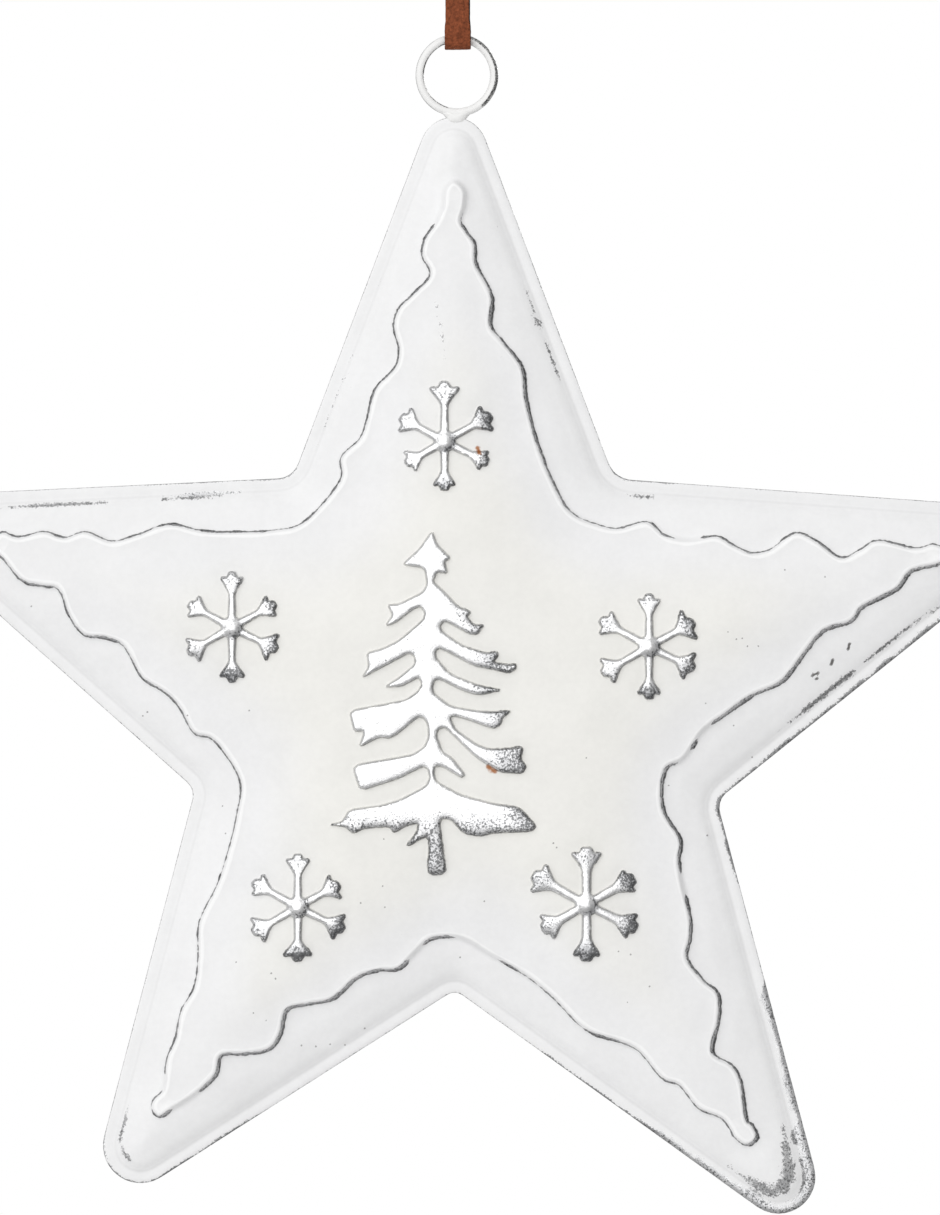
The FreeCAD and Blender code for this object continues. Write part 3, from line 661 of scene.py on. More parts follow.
class Net:
    """A small builder for the nodes of a material, the world or a node group."""

    def __init__(self, owner: bpy.types.ID) -> None:
        """Start with no nodes.

        Args:
            owner: The material, world or node group.
        """
        if not isinstance(owner, bpy.types.NodeTree):
            owner.use_nodes = True
            owner = owner.node_tree
        self.tree = owner
        self.tree.nodes.clear()

    def join(self, kind: str, feeds: dict[object, object], output: object = 0,
             **settings: object) -> Field | None:
        """Add a node and feed its inputs.

        Args:
            kind: The node's kind.
            feeds: Outputs or plain values, by the input's name or number.
            output: Which of its outputs to give.
            settings: The node's own settings.

        Returns:
            The output, or None where it has none.
        """
        node = self.tree.nodes.new(kind)
        for name, value in settings.items():
            setattr(node, name, value)
        for name, value in feeds.items():
            socket = node.inputs[name]
            if isinstance(value, Field):
                self.tree.links.new(value.socket, socket)
            elif socket.type == "RGBA":
                socket.default_value = (*value, 1.0)
            else:
                socket.default_value = value
        return Field(self, node.outputs[output]) if node.outputs else None

    def place(self) -> Field:
        """Give Object coordinates."""
        return self.join("ShaderNodeTexCoord", {}, "Object")

    def attribute(self, name: str) -> Field:
        """Read a number stored on the mesh."""
        return self.join("ShaderNodeAttribute", {}, "Fac", attribute_name=name)

    def noise(self, place: Field, scale: float, detail: float, rough: float) -> Field:
        """Add cloudy noise, with its scale per metre."""
        feeds = {"Vector": place, "Scale": scale, "Detail": detail, "Roughness": rough}
        return self.join("ShaderNodeTexNoise", feeds, "Fac")

    def mix(self, share: Field, first: object, second: object) -> Field:
        """Mix two colours."""
        return self.join("ShaderNodeMix", {0: share, 6: first, 7: second}, 2, data_type="RGBA")

    def shade(self, colour: object, share: Field) -> Field:
        """Lighten or darken a colour by a number."""
        return self.join("ShaderNodeVectorMath", {0: colour, "Scale": share}, operation="SCALE")

    def finish(self, colour: Field, metallic: object, rough: Field, height: Field, bump: Point,
               shine: float = 0.5) -> None:
        """Add the surface and the output.

        Args:
            colour: The surface's colour.
            metallic: How far it is metal.
            rough: Its roughness.
            height: The height of its finest relief.
            bump: That relief's strength, and its depth in metres.
            shine: How strongly it reflects where it isn't metal.
        """
        feeds = {"Strength": bump[0], "Distance": bump[1], "Height": height}
        normal = self.join("ShaderNodeBump", feeds, "Normal")
        feeds = {"Base Color": colour, "Metallic": metallic, "Roughness": rough, "Normal": normal,
                 "Specular IOR Level": shine}
        surface = self.join("ShaderNodeBsdfPrincipled", feeds, "BSDF")
        self.join("ShaderNodeOutputMaterial", {"Surface": surface})


@dataclass(frozen=True)
class WornPaint:
    """White paint over tin, rubbed through to grey metal along raised edges, with painted shade and a
    painted highlight.

    Attributes:
        name: The material's name.
        cool: Colour of the paint towards the arms.
        cream: Colour of the paint on the crowned middle.
        lit: Colour of the painted highlight along the border's rounded edge.
        metal: Colour of the bare metal.
        tarnish_and_shade_grey: Colour of tarnished metal and of its painted shade.
        pit: Colour of its dark pits.
        shadow: Colour of the painted shade at the wavy step's foot and round the motifs' feet, also used to
            darken worn cut edges and ridge streaks.
        chip: Colour of specks and chips.
        rusty: Colour of rust.
    """

    name: str = "worn white paint"
    cool: Colour = (0.872, 0.872, 0.876)
    cream: Colour = (0.872, 0.864, 0.828)
    lit: Colour = (0.97, 0.97, 0.97)
    metal: Colour = (0.78, 0.78, 0.785)
    tarnish_and_shade_grey: Colour = (0.33, 0.335, 0.35)
    pit: Colour = (0.085, 0.087, 0.09)
    shadow: Colour = (0.07, 0.07, 0.072)
    chip: Colour = (0.10, 0.095, 0.09)
    rusty: Colour = (0.42, 0.16, 0.05)

    def build(self) -> bpy.types.Material:
        """Make the material. It reads the relief's attributes.

        Returns:
            The material.
        """
        material = bpy.data.materials.new(self.name)
        net = Net(material)
        place = net.place()
        fine = net.noise(place, 2600.0, 3.0, 0.6)
        grain = net.noise(place, 900.0, 2.0, 0.6)
        patch = net.noise(place, 170.0, 3.0, 0.55)
        wave, rim, motif, edge, ridge, speck, tarnish, covered = map(net.attribute, (
            "wave_d", "rim_d", "motif_d", "edge_wear", "ridge_wear", "speck", "tarnish", "covered"))
        lee = net.attribute("lee").top(0.0)
        under = net.attribute("under").top(0.0)

        # Silver line along the wavy step, broader where the step faces the lower right, away from the
        # light: that extra width is painted shade of the step.
        width = lee.line(0.2, 0.19) * lee.line(0.4, 0.62).top(patch.remap(0.36, 0.62, 0.4, 1.3))
        line = width - covered * 0.5 - (abs(wave + 0.2) + grain.swing(0.5))
        line = line.remap(-0.08, 0.1)

        # Motifs are rubbed bare all over, with ragged paint round their feet.
        bare = (motif + grain.line(0.5, -0.1)).remap(-0.08, 0.1)

        # Cut edge and ridge.
        reach = (edge * edge).line(1.7, 0.06) * patch.remap(0.3, 0.7, 0.4, 1.5)
        cut = (reach - (rim + (fine - 0.5) * edge.line(2.6, 0.5))).remap(-0.1, 0.15)
        band = ridge + patch.swing(0.5) + grain.swing(0.7) + fine.swing(1.2)
        band = band.remap(0.4, 0.62, 0.0, ridge.line(0.4, 0.6))

        worn = line.top(bare).top(cut.top(band))

        # Paint colour: cream on the crown, cool on the arms, faintly mottled, with a painted highlight on
        # the border's lip and painted shade in the ridge's crease.
        tint = net.attribute("crown") + net.noise(place, 45.0, 2.0, 0.5).swing(0.5)
        paint = net.mix(tint.remap(0.25, 0.95), self.cool, self.cream)
        paint = net.shade(paint, net.noise(place, 110.0, 4.0, 0.6).remap(0.3, 0.7, 0.975, 1.01))
        # Painted highlight: whiter paint just inside the wavy step, on the border's raised lip.
        lip_highlight = abs(wave - 0.62) + patch.swing(0.8)
        paint = net.mix(lip_highlight.remap(0.12, 0.4, 0.8, 0.0), paint, self.lit)
        paint = net.shade(paint, grain.remap(0.3, 0.7, 0.985, 1.008))
        # Painted shade: a faint darker line along the ridge's crease.
        paint = net.shade(paint, abs(rim - 2.3).remap(0.05, 0.4, 0.945))
        dots = (speck + fine.swing(0.5)).remap(0.36, 0.52) * speck.remap(0.6, 0.9, 0.72, 0.97)
        paint = net.mix(dots, paint, self.chip)

        # Bare metal: greyed by rub marks, by tarnish and by painted shade towards the motifs' lower right,
        # with dark pits.
        tin = net.shade(self.metal, grain.remap(0.3, 0.7, 0.85, 1.08))
        tin = net.mix(tarnish * patch.remap(0.35, 0.65, 0.25, 0.7), tin, self.tarnish_and_shade_grey)
        pits = fine + tarnish.line(0.22, -0.12) + grain.swing(0.3)
        tin = net.mix(pits.remap(0.5, 0.62, 0.0, 0.85), tin, self.pit)
        # Painted shade round the motifs' feet: a thin dark line, wider and darker where the edge faces the
        # lower right, away from the light.
        foot = abs(motif - 0.02) / under.line(1.3, 1.0) + grain * 0.22
        foot = foot.remap(0.12, 0.25, 1.0, 0.0) * under.line(0.45, 0.3) * grain.remap(0.35, 0.6, 0.6, 1.2)
        # Painted shade: the wavy step's line is darkened, most at the step's outer foot; worn cut edges and
        # ridge streaks are darkened with the same colour.
        shade_and_dulling = lee.line(-0.12, 0.62) * wave.remap(-0.4, 0.0, 1.3, 0.5) * fine.remap(0.38, 0.62, 0.75, 1.25)
        shade_and_dulling = (shade_and_dulling * line).top(cut * edge.remap(0.3, 0.9, 0.55, 0.12)).top(band * 0.25)
        shade_and_dulling = shade_and_dulling * bare.line(-1.0, 1.0)
        tin = net.mix(shade_and_dulling.top(foot), tin, self.shadow)
        colour = net.mix(net.attribute("rust"), net.mix(worn, paint, tin), self.rusty)

        rough = worn.line(-0.22, 0.46) + grain.swing(0.1)
        height = patch * 0.6 + grain * 0.25 + worn * (fine * 0.9) - worn * 0.3
        net.finish(colour, worn, rough, height, (0.4, 0.00012))
        return material


@dataclass(frozen=True)
class WirePaint:
    """White paint on wire or solder, rubbed to grey metal; on the ring the grey metal also paints shade
    along two edges.

    Attributes:
        name: The material's name.
        share: How much of the mesh's own wear and painted shade it shows.
        bareness: Wear that it has all over.
        white: Colour of the paint.
        metal: Colour of the bare metal.
    """

    name: str
    share: float
    bareness: float = 0.0
    white: Colour = (0.9, 0.898, 0.89)
    metal: Colour = (0.42, 0.42, 0.415)

    def build(self) -> bpy.types.Material:
        """Make the material. It reads Object coordinates and the mesh's wear attribute.

        Returns:
            The material.
        """
        material = bpy.data.materials.new(self.name)
        net = Net(material)
        place = net.place()
        fine = net.noise(place, 3200.0, 2.0, 0.6)
        grain = net.noise(place, 1300.0, 3.0, 0.65)
        patch = net.noise(place, 330.0, 2.0, 0.5)
        worn = net.attribute("wear").line(self.share, self.bareness) + patch.swing(0.7) + grain.swing(0.9)
        worn = worn.remap(0.42, 0.56)
        paint = net.shade(self.white, patch.remap(0.3, 0.7, 0.97))
        tin = net.shade(self.metal, fine.remap(0.35, 0.65, 0.2, 1.5))
        height = patch * 0.6 + grain * 0.4
        net.finish(net.mix(worn, paint, tin), worn, worn.line(-0.18, 0.46), height, (0.25, 0.00015))
        return material


@dataclass(frozen=True)
class Suede:
    """Reddish brown split leather with a short nap.

    Attributes:
        name: The material's name.
        nap: Colour of the faces.
        cut: Colour of the cut sides: darker leather, made near black as painted shade where they face away
            from the light.
    """

    name: str = "brown suede"
    nap: Colour = (0.222, 0.062, 0.026)
    cut: Colour = (0.022, 0.006, 0.003)

    def build(self) -> bpy.types.Material:
        """Make the material. It reads Object coordinates and the lace's side attribute.

        Returns:
            The material.
        """
        material = bpy.data.materials.new(self.name)
        net = Net(material)
        place = net.place()
        drawn = net.join("ShaderNodeMapping", {"Vector": place, "Scale": (1.0, 1.0, 0.45)})
        fibre = net.noise(drawn, 4200.0, 3.0, 0.7)
        mottle = net.noise(place, 1700.0, 3.0, 0.65)
        tone = mottle * 0.6 + fibre * 0.4
        # The cut sides are near black: darker leather with painted shade.
        colour = net.mix(net.attribute("side"), self.nap, self.cut)
        colour = net.shade(colour, tone.remap(0.32, 0.68, 0.55, 1.42))
        colour = net.shade(colour, net.noise(place, 400.0, 2.0, 0.5).remap(0.3, 0.7, 0.9, 1.08))
        height = mottle * 0.5 + fibre * 0.5
        net.finish(colour, 0.0, fibre.line(0.1, 0.84), height, (0.8, 0.0002), shine=0.15)
        return material


def new_object(name: str, mesh: bpy.types.Mesh, material: bpy.types.Material) -> bpy.types.Object:
    """Put a mesh in the scene with its material.

    Args:
        name: The object's name.
        mesh: Its mesh.
        material: Its material.

    Returns:
        The object.
    """
    piece = bpy.data.objects.new(name, mesh)
    bpy.context.scene.collection.objects.link(piece)
    mesh.materials.clear()
    mesh.materials.append(material)
    return piece


def place_piece(piece: bpy.types.Object, body: Body, slot: Slot, *nodes: str) -> None:
    """Let a piece ride on its body and stand for its nodes.

    Args:
        piece: The piece.
        body: Its body.
        slot: Its slot; not used.
        nodes: The names of the solids it stands for.
    """
    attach(piece, body.value)
    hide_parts(*nodes)
    log.info("%s: %d faces", piece.name, len(piece.data.polygons))


def store(mesh: bpy.types.Mesh, name: str, values: object) -> None:
    """Store a number at each of a mesh's points, for its material."""
    mesh.attributes.new(name, "FLOAT", "POINT").data.foreach_set("value", np.asarray(values, np.float32))


def close_up(mesh: bpy.types.Mesh, sharp: float = 180.0, weld: bool = False) -> None:
    """Turn a closed mesh's faces outwards and shade it smooth.

    Args:
        mesh: The mesh.
        sharp: The angle in degrees above which an edge stays sharp.
        weld: Whether doubled points are joined first.
    """
    repair = bmesh.new()
    repair.from_mesh(mesh)
    if weld:
        bmesh.ops.remove_doubles(repair, verts=repair.verts, dist=1e-7)
    bmesh.ops.recalc_face_normals(repair, faces=repair.faces)
    repair.to_mesh(mesh)
    repair.free()
    mesh.shade_smooth()
    if sharp < 180.0:
        mesh.set_sharp_from_angle(angle=math.radians(sharp))


def ring_faces(count: int, starts: Sequence[int]) -> list[tuple[int, ...]]:
    """Join rings of points, each beginning at its start, by four-sided faces.

    Args:
        count: How many points a ring has.
        starts: The number of each ring's first point.

    Returns:
        The faces.
    """
    faces = []
    for low, high in zip(starts, starts[1:]):
        for index in range(count):
            after = (index + 1) % count
            faces.append((low + index, low + after, high + after, high + index))
    return faces


def thinned(batches: list[tuple[np.ndarray, float]]) -> np.ndarray:
    """Keep points in order, each at least its batch's distance from those kept before.

    Args:
        batches: Points with the least distance they keep.

    Returns:
        The kept points.
    """
    grid: dict[tuple[int, int], list[Point]] = {}
    kept = []
    for points, least in batches:
        reach = math.ceil(least / CELL)
        limit = least * least
        around = [(i, k) for i in range(-reach, reach + 1) for k in range(-reach, reach + 1)]
        for x, z in points.tolist():
            column = math.floor(x / CELL)
            row = math.floor(z / CELL)
            near = (spot for i, k in around for spot in grid.get((column + i, row + k), ()))
            if not any((px - x) ** 2 + (pz - z) ** 2 < limit for px, pz in near):
                grid.setdefault((column, row), []).append((x, z))
                kept.append((x, z))
    return np.array(kept)


def hexagonal(step: float) -> np.ndarray:
    """Give a hexagonal grid of points that covers the star.

    Args:
        step: The distance between two points.

    Returns:
        The points, row by row.
    """
    columns = np.arange(-STAR_REACH, STAR_REACH, step)
    rows = np.arange(-STAR_REACH, STAR_REACH, step * math.sqrt(3) / 2)
    return np.vstack([np.column_stack((columns + (index % 2) * step / 2, np.full(len(columns), row)))
                      for index, row in enumerate(rows)])


def triangulated(rim: np.ndarray, inner: np.ndarray) -> tuple[np.ndarray, np.ndarray]:
    """Fill a closed line with triangles through given inner points.

    Args:
        rim: The closed line's points.
        inner: Points inside it.

    Returns:
        All the points, of which the rim's come first and in order, and the triangles.
    """
    points = [Vector(point) for point in np.vstack((rim, inner)).tolist()]
    edges = [(index, (index + 1) % len(rim)) for index in range(len(rim))]
    verts, _, faces, origin, _, _ = delaunay_2d_cdt(points, edges, [], 1, 1e-6)
    order = np.array([source[0] if source else -1 for source in origin])
    rank = np.argsort(np.where(order < 0, len(points) + 1, order), kind="stable")
    place = np.empty(len(rank), int)
    place[rank] = np.arange(len(rank))
    return np.array([(vert.x, vert.y) for vert in verts])[rank], place[np.array(faces)]


@dataclass
class PressedHalf:
    """One pressed half of the star, as a closed sheet.

    Attributes:
        plan: The flat outlines.
        relief: The pressed form.
        front: Whether this is the front half, with its panel and motifs.
        sheet: Thickness of the tin.
        seam: Half the gap between the halves.
        flange: How far in from the cut edge the sheet lies flat inside.
        rim_step: Distance between points along the cut edge.
        inner_step: Distance between points of the inner face.
    """

    plan: StarPlan
    relief: Relief
    front: bool
    sheet: float = 0.4
    seam: float = 0.1
    flange: float = 3.4
    rim_step: float = 0.9
    inner_step: float = 3.0

    def dense_points(self) -> list[tuple[np.ndarray, float]]:
        """List points that follow the specks, the wavy border and the motifs, with their least distance.

        Returns:
            Batches of points, each with the distance that its points keep.
        """
        batches = []
        for line in SPECK_LINES + CHIPS + RUST:
            size = 0.32 if line[0] == line[1] else 0.42
            ring = [np.mean(line, axis=0)]
            for reach in (0.6, 1.3):
                for bearing in range(0, 360, 60):
                    ring += [end + heading(bearing + reach * 40) * size * reach for end in line]
            batches.append((np.array(ring), 0.1))
        wave = resample(self.plan.wave, 0.5)
        batches += [(offset(wave, inset), 0.24) for inset in WAVE_ROWS]
        for loop in [self.plan.tree, *self.plan.flakes]:
            line = resample(loop, 0.34)
            batches += [(offset(line, inset), 0.19) for inset in MOTIF_ROWS]
        return batches

    def inner_points(self) -> np.ndarray:
        """Choose points inside the outline, close together where the form turns sharply.

        Returns:
            The points.
        """
        batches = self.dense_points() if self.front else []
        outline = resample(self.plan.outline, self.rim_step)
        batches += [(offset(outline, inset), 0.35 if inset < 1 else 0.45) for inset in RIM_ROWS]
        if self.front:
            dense = hexagonal(0.55)
            batches.append((dense[self.relief.inside_motifs(dense) > -1.6], 0.42))
        batches.append((hexagonal(1.25), 0.95 if self.front else 1.1))
        points = thinned(batches)
        return points[signed_distance(points, self.plan.outline) > 0.08]

    def heights(self, places: np.ndarray) -> tuple[np.ndarray, dict[str, np.ndarray]]:
        """Work out the outer face's height and the numbers its paint reads.

        Args:
            places: Where.

        Returns:
            The heights, and the numbers by name.
        """
        depth = signed_distance(places, self.plan.outline)
        height = self.relief.base(places, depth)
        nothing = np.zeros(len(places))
        numbers = {
            "wave_d": nothing + NO_BORDER,
            "rim_d": depth,
            "motif_d": nothing + FAR_OUTSIDE,
            "lee": nothing,
            "under": nothing,
            "edge_wear": nothing + LEAST_WEAR,
            "ridge_wear": nothing,
            "crown": self.relief.crown_at(places) / self.relief.crown_rise,
            "speck": nothing,
            "rust": nothing,
            "covered": nothing,
            "tarnish": self.tarnish_and_shade_at(places),
        }
        if self.front:
            numbers |= self.wear(places)
            height += self.pressing(places, numbers)
        return height - 0.12 * smoothstep(0.2, 0.0, depth), numbers

    def wear(self, places: np.ndarray) -> dict[str, np.ndarray]:
        """Give the numbers that the front's own line, motifs, wear, specks and painted shade have.

        Args:
            places: Where.

        Returns:
            The numbers by name.
        """
        plan = self.plan
        wave = signed_distance(places, plan.wave)
        motif = self.relief.inside_motifs(places)
        near = motif > -1.0
        under = np.zeros(len(places))
        under[near] = facing(self.relief.inside_motifs, places[near], motif[near])
        edge = np.full(len(places), LEAST_WEAR)
        for line, reach, bare in EDGE_WEAR:
            away = line_distance(places, line)
            edge = np.maximum(edge, bare * smoothstep(reach * 1.6, reach * 0.7, away))
        ridge = np.zeros(len(places))
        for line, reach, bare in RIDGE_WEAR:
            ridge = np.maximum(ridge, bare * (1.0 - 0.5 * line_distance(places, line) / reach))
        covered = np.zeros(len(places))
        for centre, reach in COVERED:
            away = line_distance(places, (centre, centre))
            covered = np.maximum(covered, smoothstep(reach * 1.25, reach * 0.7, away))
        return {
            "wave_d": wave,
            "motif_d": motif,
            "lee": facing(lambda spots: signed_distance(spots, plan.wave), places, wave),
            "under": under,
            "edge_wear": edge,
            "ridge_wear": ridge,
            "covered": covered,
            "speck": 0.62 * self.dots(places, SPECK_LINES, 0.3) + self.dots(places, CHIPS, 0.34),
            "rust": self.dots(places, RUST, 0.5),
        }

    def pressing(self, places: np.ndarray, numbers: dict[str, np.ndarray]) -> np.ndarray:
        """Give the rise of the panel and its motifs, with the shallow troughs and lips beside them.

        Args:
            places: Where.
            numbers: The numbers by name at those places.

        Returns:
            The rises.
        """
        wave, motif = numbers["wave_d"], numbers["motif_d"]
        rise = self.relief.panel_rise * smoothstep(-0.62, 0.5, wave)
        rise += 0.13 * np.exp(-((wave - 0.55) / 0.4) ** 2) - 0.16 * np.exp(-((wave + 1.5) / 1.3) ** 2)
        for centre in FLAKES:
            rise += 0.45 * smoothstep(1.9, 0.6, line_distance(places, (centre, centre)))
        motifs = (([self.plan.tree], self.relief.tree_rise), (self.plan.flakes, self.relief.flake_rise))
        for loops, height in motifs:
            inside = self.relief.inside_any(places, loops)
            dome = 1.0 - np.exp(-np.maximum(inside, 0.0) / 0.6)
            rise += height * (0.72 * smoothstep(-0.26, 0.2, inside) + 0.28 * dome)
        return rise - 0.14 * np.exp(-(np.minimum(motif, 0.0) / 1.1) ** 2) * (motif < 0)

    @staticmethod
    def dots(places: np.ndarray, lines: tuple[tuple[Point, Point], ...], size: float) -> np.ndarray:
        """Give 1 at each short line, falling to 0 beyond its size."""
        nearest = np.min([line_distance(places, line) for line in lines], axis=0)
        return smoothstep(size, size * 0.4, nearest)

    @staticmethod
    def tarnish_and_shade_at(places: np.ndarray) -> np.ndarray:
        """Say how dark the motifs' metal is made: tarnish with painted shade, towards the lower right of
        each, away from the light.

        Args:
            places: Where.

        Returns:
            A value for each place, from 0 to about 1.
        """
        x, z = places.T
        levels = (-25.0, -12.0, -3.0, 4.0, 10.0, 20.0, 30.0)
        starts = np.interp(z, levels, (16.0, 12.0, 11.5, 9.0, 9.5, 5.0, 4.0))
        value = 0.92 * smoothstep(-3.5, 3.5, x - TREE_APEX[0] - starts)
        value = np.maximum(value, 0.85 * smoothstep(-17.5, -24.0, z))
        value[(np.abs(x - TREE_APEX[0]) > 24.0) | (z < -34.0) | (z > 36.0)] = 0.55
        for centre in FLAKES:
            away = places - np.array(centre)
            reach = np.hypot(*away.T)
            near = reach < FLAKE_RADIUS * 1.4
            lean = (away @ np.array((0.85, -0.53)))[near]
            reach = reach[near]
            ends = smoothstep(0.55, 0.9, reach / FLAKE_RADIUS) * (0.5 + 0.6 * smoothstep(-5.0, 5.0, lean))
            # A dark ring on each hub's lower right, where its dome turns from the light: painted shade.
            hub = np.exp(-((reach - 1.75) / 0.5) ** 2) * smoothstep(-0.4, 1.0, lean)
            value[near] = np.maximum(ends, 0.95 * hub)
        return value

    def build(self, name: str, material: bpy.types.Material, node: str) -> None:
        """Make the closed sheet: outer face, rounded cut edge and inner face.

        Args:
            name: The piece's name.
            material: Its material.
            node: The solid it stands for.
        """
        rim = resample(self.plan.outline, self.rim_step)
        outer, outer_faces = triangulated(rim, self.inner_points())
        height, numbers = self.heights(outer)
        grid = hexagonal(self.inner_step)
        grid = grid[signed_distance(grid, self.plan.outline) > self.inner_step / 2]
        inner, inner_faces = triangulated(rim, grid)
        depth = signed_distance(inner, self.plan.outline)
        hollow = self.relief.base(inner, depth - 0.9) - self.relief.flange_face - self.sheet * 0.3
        inside = self.seam + np.where(depth > self.flange, np.maximum(hollow, 0.0), 0.0)
        count = len(rim)
        layers = ((outer, height), (rim, np.full(count, 0.3)), (rim, np.full(count, 0.14)), (inner, inside))
        side = -1.0 if self.front else 1.0
        rows = [np.column_stack((spots[:, 0], side * level, spots[:, 1])) for spots, level in layers]
        verts = np.vstack(rows)
        verts[:, 2] += STAR_Z
        whole = len(outer)
        starts = (0, whole, whole + count, whole + 2 * count)
        faces = outer_faces.tolist() + (inner_faces[:, ::-1] + starts[-1]).tolist()
        faces += [(b, a, d, c) for a, b, c, d in ring_faces(count, starts)]
        mesh = bpy.data.meshes.new(name)
        mesh.from_pydata((verts * MM).tolist(), [], faces)
        for key, values in numbers.items():
            # The cut edge is as worn as the face beside it, and neither line nor motif reaches inside.
            rest = np.full(len(verts) - whole, FAR_OUTSIDE if key in ("wave_d", "motif_d") else 0.0)
            if key == "edge_wear":
                rest[:2 * count] = np.tile(values[:count], 2)
            store(mesh, key, np.concatenate((values, rest)))
        close_up(mesh, sharp=52.0)
        place_piece(new_object(name, mesh, material), Body.STAR, Slot.TIN, node)


def drawn_line(name: str, kind: str, points: Sequence[Sequence[float]]) -> bpy.types.Object:
    """Link a curve of one spline with the given control points, in metres.

    Args:
        name: The curve's name.
        kind: The spline's kind.
        points: Its control points.

    Returns:
        The curve's object.
    """
    curve = bpy.data.curves.new(name, "CURVE")
    curve.dimensions = "3D"
    run = curve.splines.new(kind)
    run.points.add(len(points) - 1)
    for point, place in zip(run.points, points):
        point.co = (*place, 1.0)
    holder = bpy.data.objects.new(name, curve)
    bpy.context.scene.collection.objects.link(holder)
    return holder


def taken_mesh(holder: bpy.types.Object, name: str) -> bpy.types.Mesh:
    """Take a curve's finished mesh and remove the curve.

    Args:
        holder: The curve's object.
        name: The mesh's name.

    Returns:
        The plain mesh.
    """
    bpy.context.view_layer.update()
    ready = holder.evaluated_get(bpy.context.evaluated_depsgraph_get())
    mesh = bpy.data.meshes.new_from_object(ready)
    mesh.name = name
    holder.modifiers.clear()
    curve = holder.data
    bpy.data.objects.remove(holder)
    bpy.data.curves.remove(curve)
    return mesh


def swept(name: str, material: bpy.types.Material, line: list[Vector], radius: float, uneven: float,
          seed: int) -> bpy.types.Object:
    """Sweep a round wire or bead along a closed line with Geometry Nodes.

    Args:
        name: The piece's name.
        material: Its material.
        line: The closed line's points, in metres.
        radius: The wire's radius, in metres.
        uneven: How far the radius varies, as a share.
        seed: Which variation.

    Returns:
        The piece, as a plain mesh.
    """
    holder = drawn_line(name + "_line", "POLY", line)
    holder.data.splines[0].use_cyclic_u = True
    sizes = {"Radius": radius, "Unevenness": uneven, "Seed": float(seed)}
    tree = bpy.data.node_groups.new(name + "_sweep", "GeometryNodeTree")
    tree.interface.new_socket("Geometry", in_out="INPUT", socket_type="NodeSocketGeometry")
    for label in sizes:
        tree.interface.new_socket(label, in_out="INPUT", socket_type="NodeSocketFloat")
    tree.interface.new_socket("Geometry", in_out="OUTPUT", socket_type="NodeSocketGeometry")
    net = Net(tree)
    given = tree.nodes.new("NodeGroupInput").outputs
    spot = net.join("GeometryNodeInputPosition", {})
    feeds = {"Vector": spot, "W": Field(net, given["Seed"]), "Scale": 420.0}
    noise = net.join("ShaderNodeTexNoise", feeds, "Fac", noise_dimensions="4D")
    thick = (noise - 0.5).line(Field(net, given["Unevenness"]), 1.0) * Field(net, given["Radius"])
    section = net.join("GeometryNodeCurvePrimitiveCircle", {"Resolution": 20, "Radius": 1.0})
    path = net.join("GeometryNodeSetCurveRadius", {"Curve": Field(net, given["Geometry"]), "Radius": thick})
    sweep = net.join("GeometryNodeCurveToMesh", {"Curve": path, "Profile Curve": section, "Scale": thick})
    solid = net.join("GeometryNodeRealizeInstances", {0: sweep})
    net.join("NodeGroupOutput", {0: net.join("GeometryNodeSetMaterial", {0: solid, "Material": material})})

    modifier = holder.modifiers.new("sweep", "NODES")
    modifier.node_group = tree
    for socket in tree.interface.items_tree:
        if socket.in_out == "INPUT" and socket.name in sizes:
            modifier[socket.identifier] = sizes[socket.name]
    mesh = taken_mesh(holder, name)
    close_up(mesh, weld=True)
    return new_object(name, mesh, material)


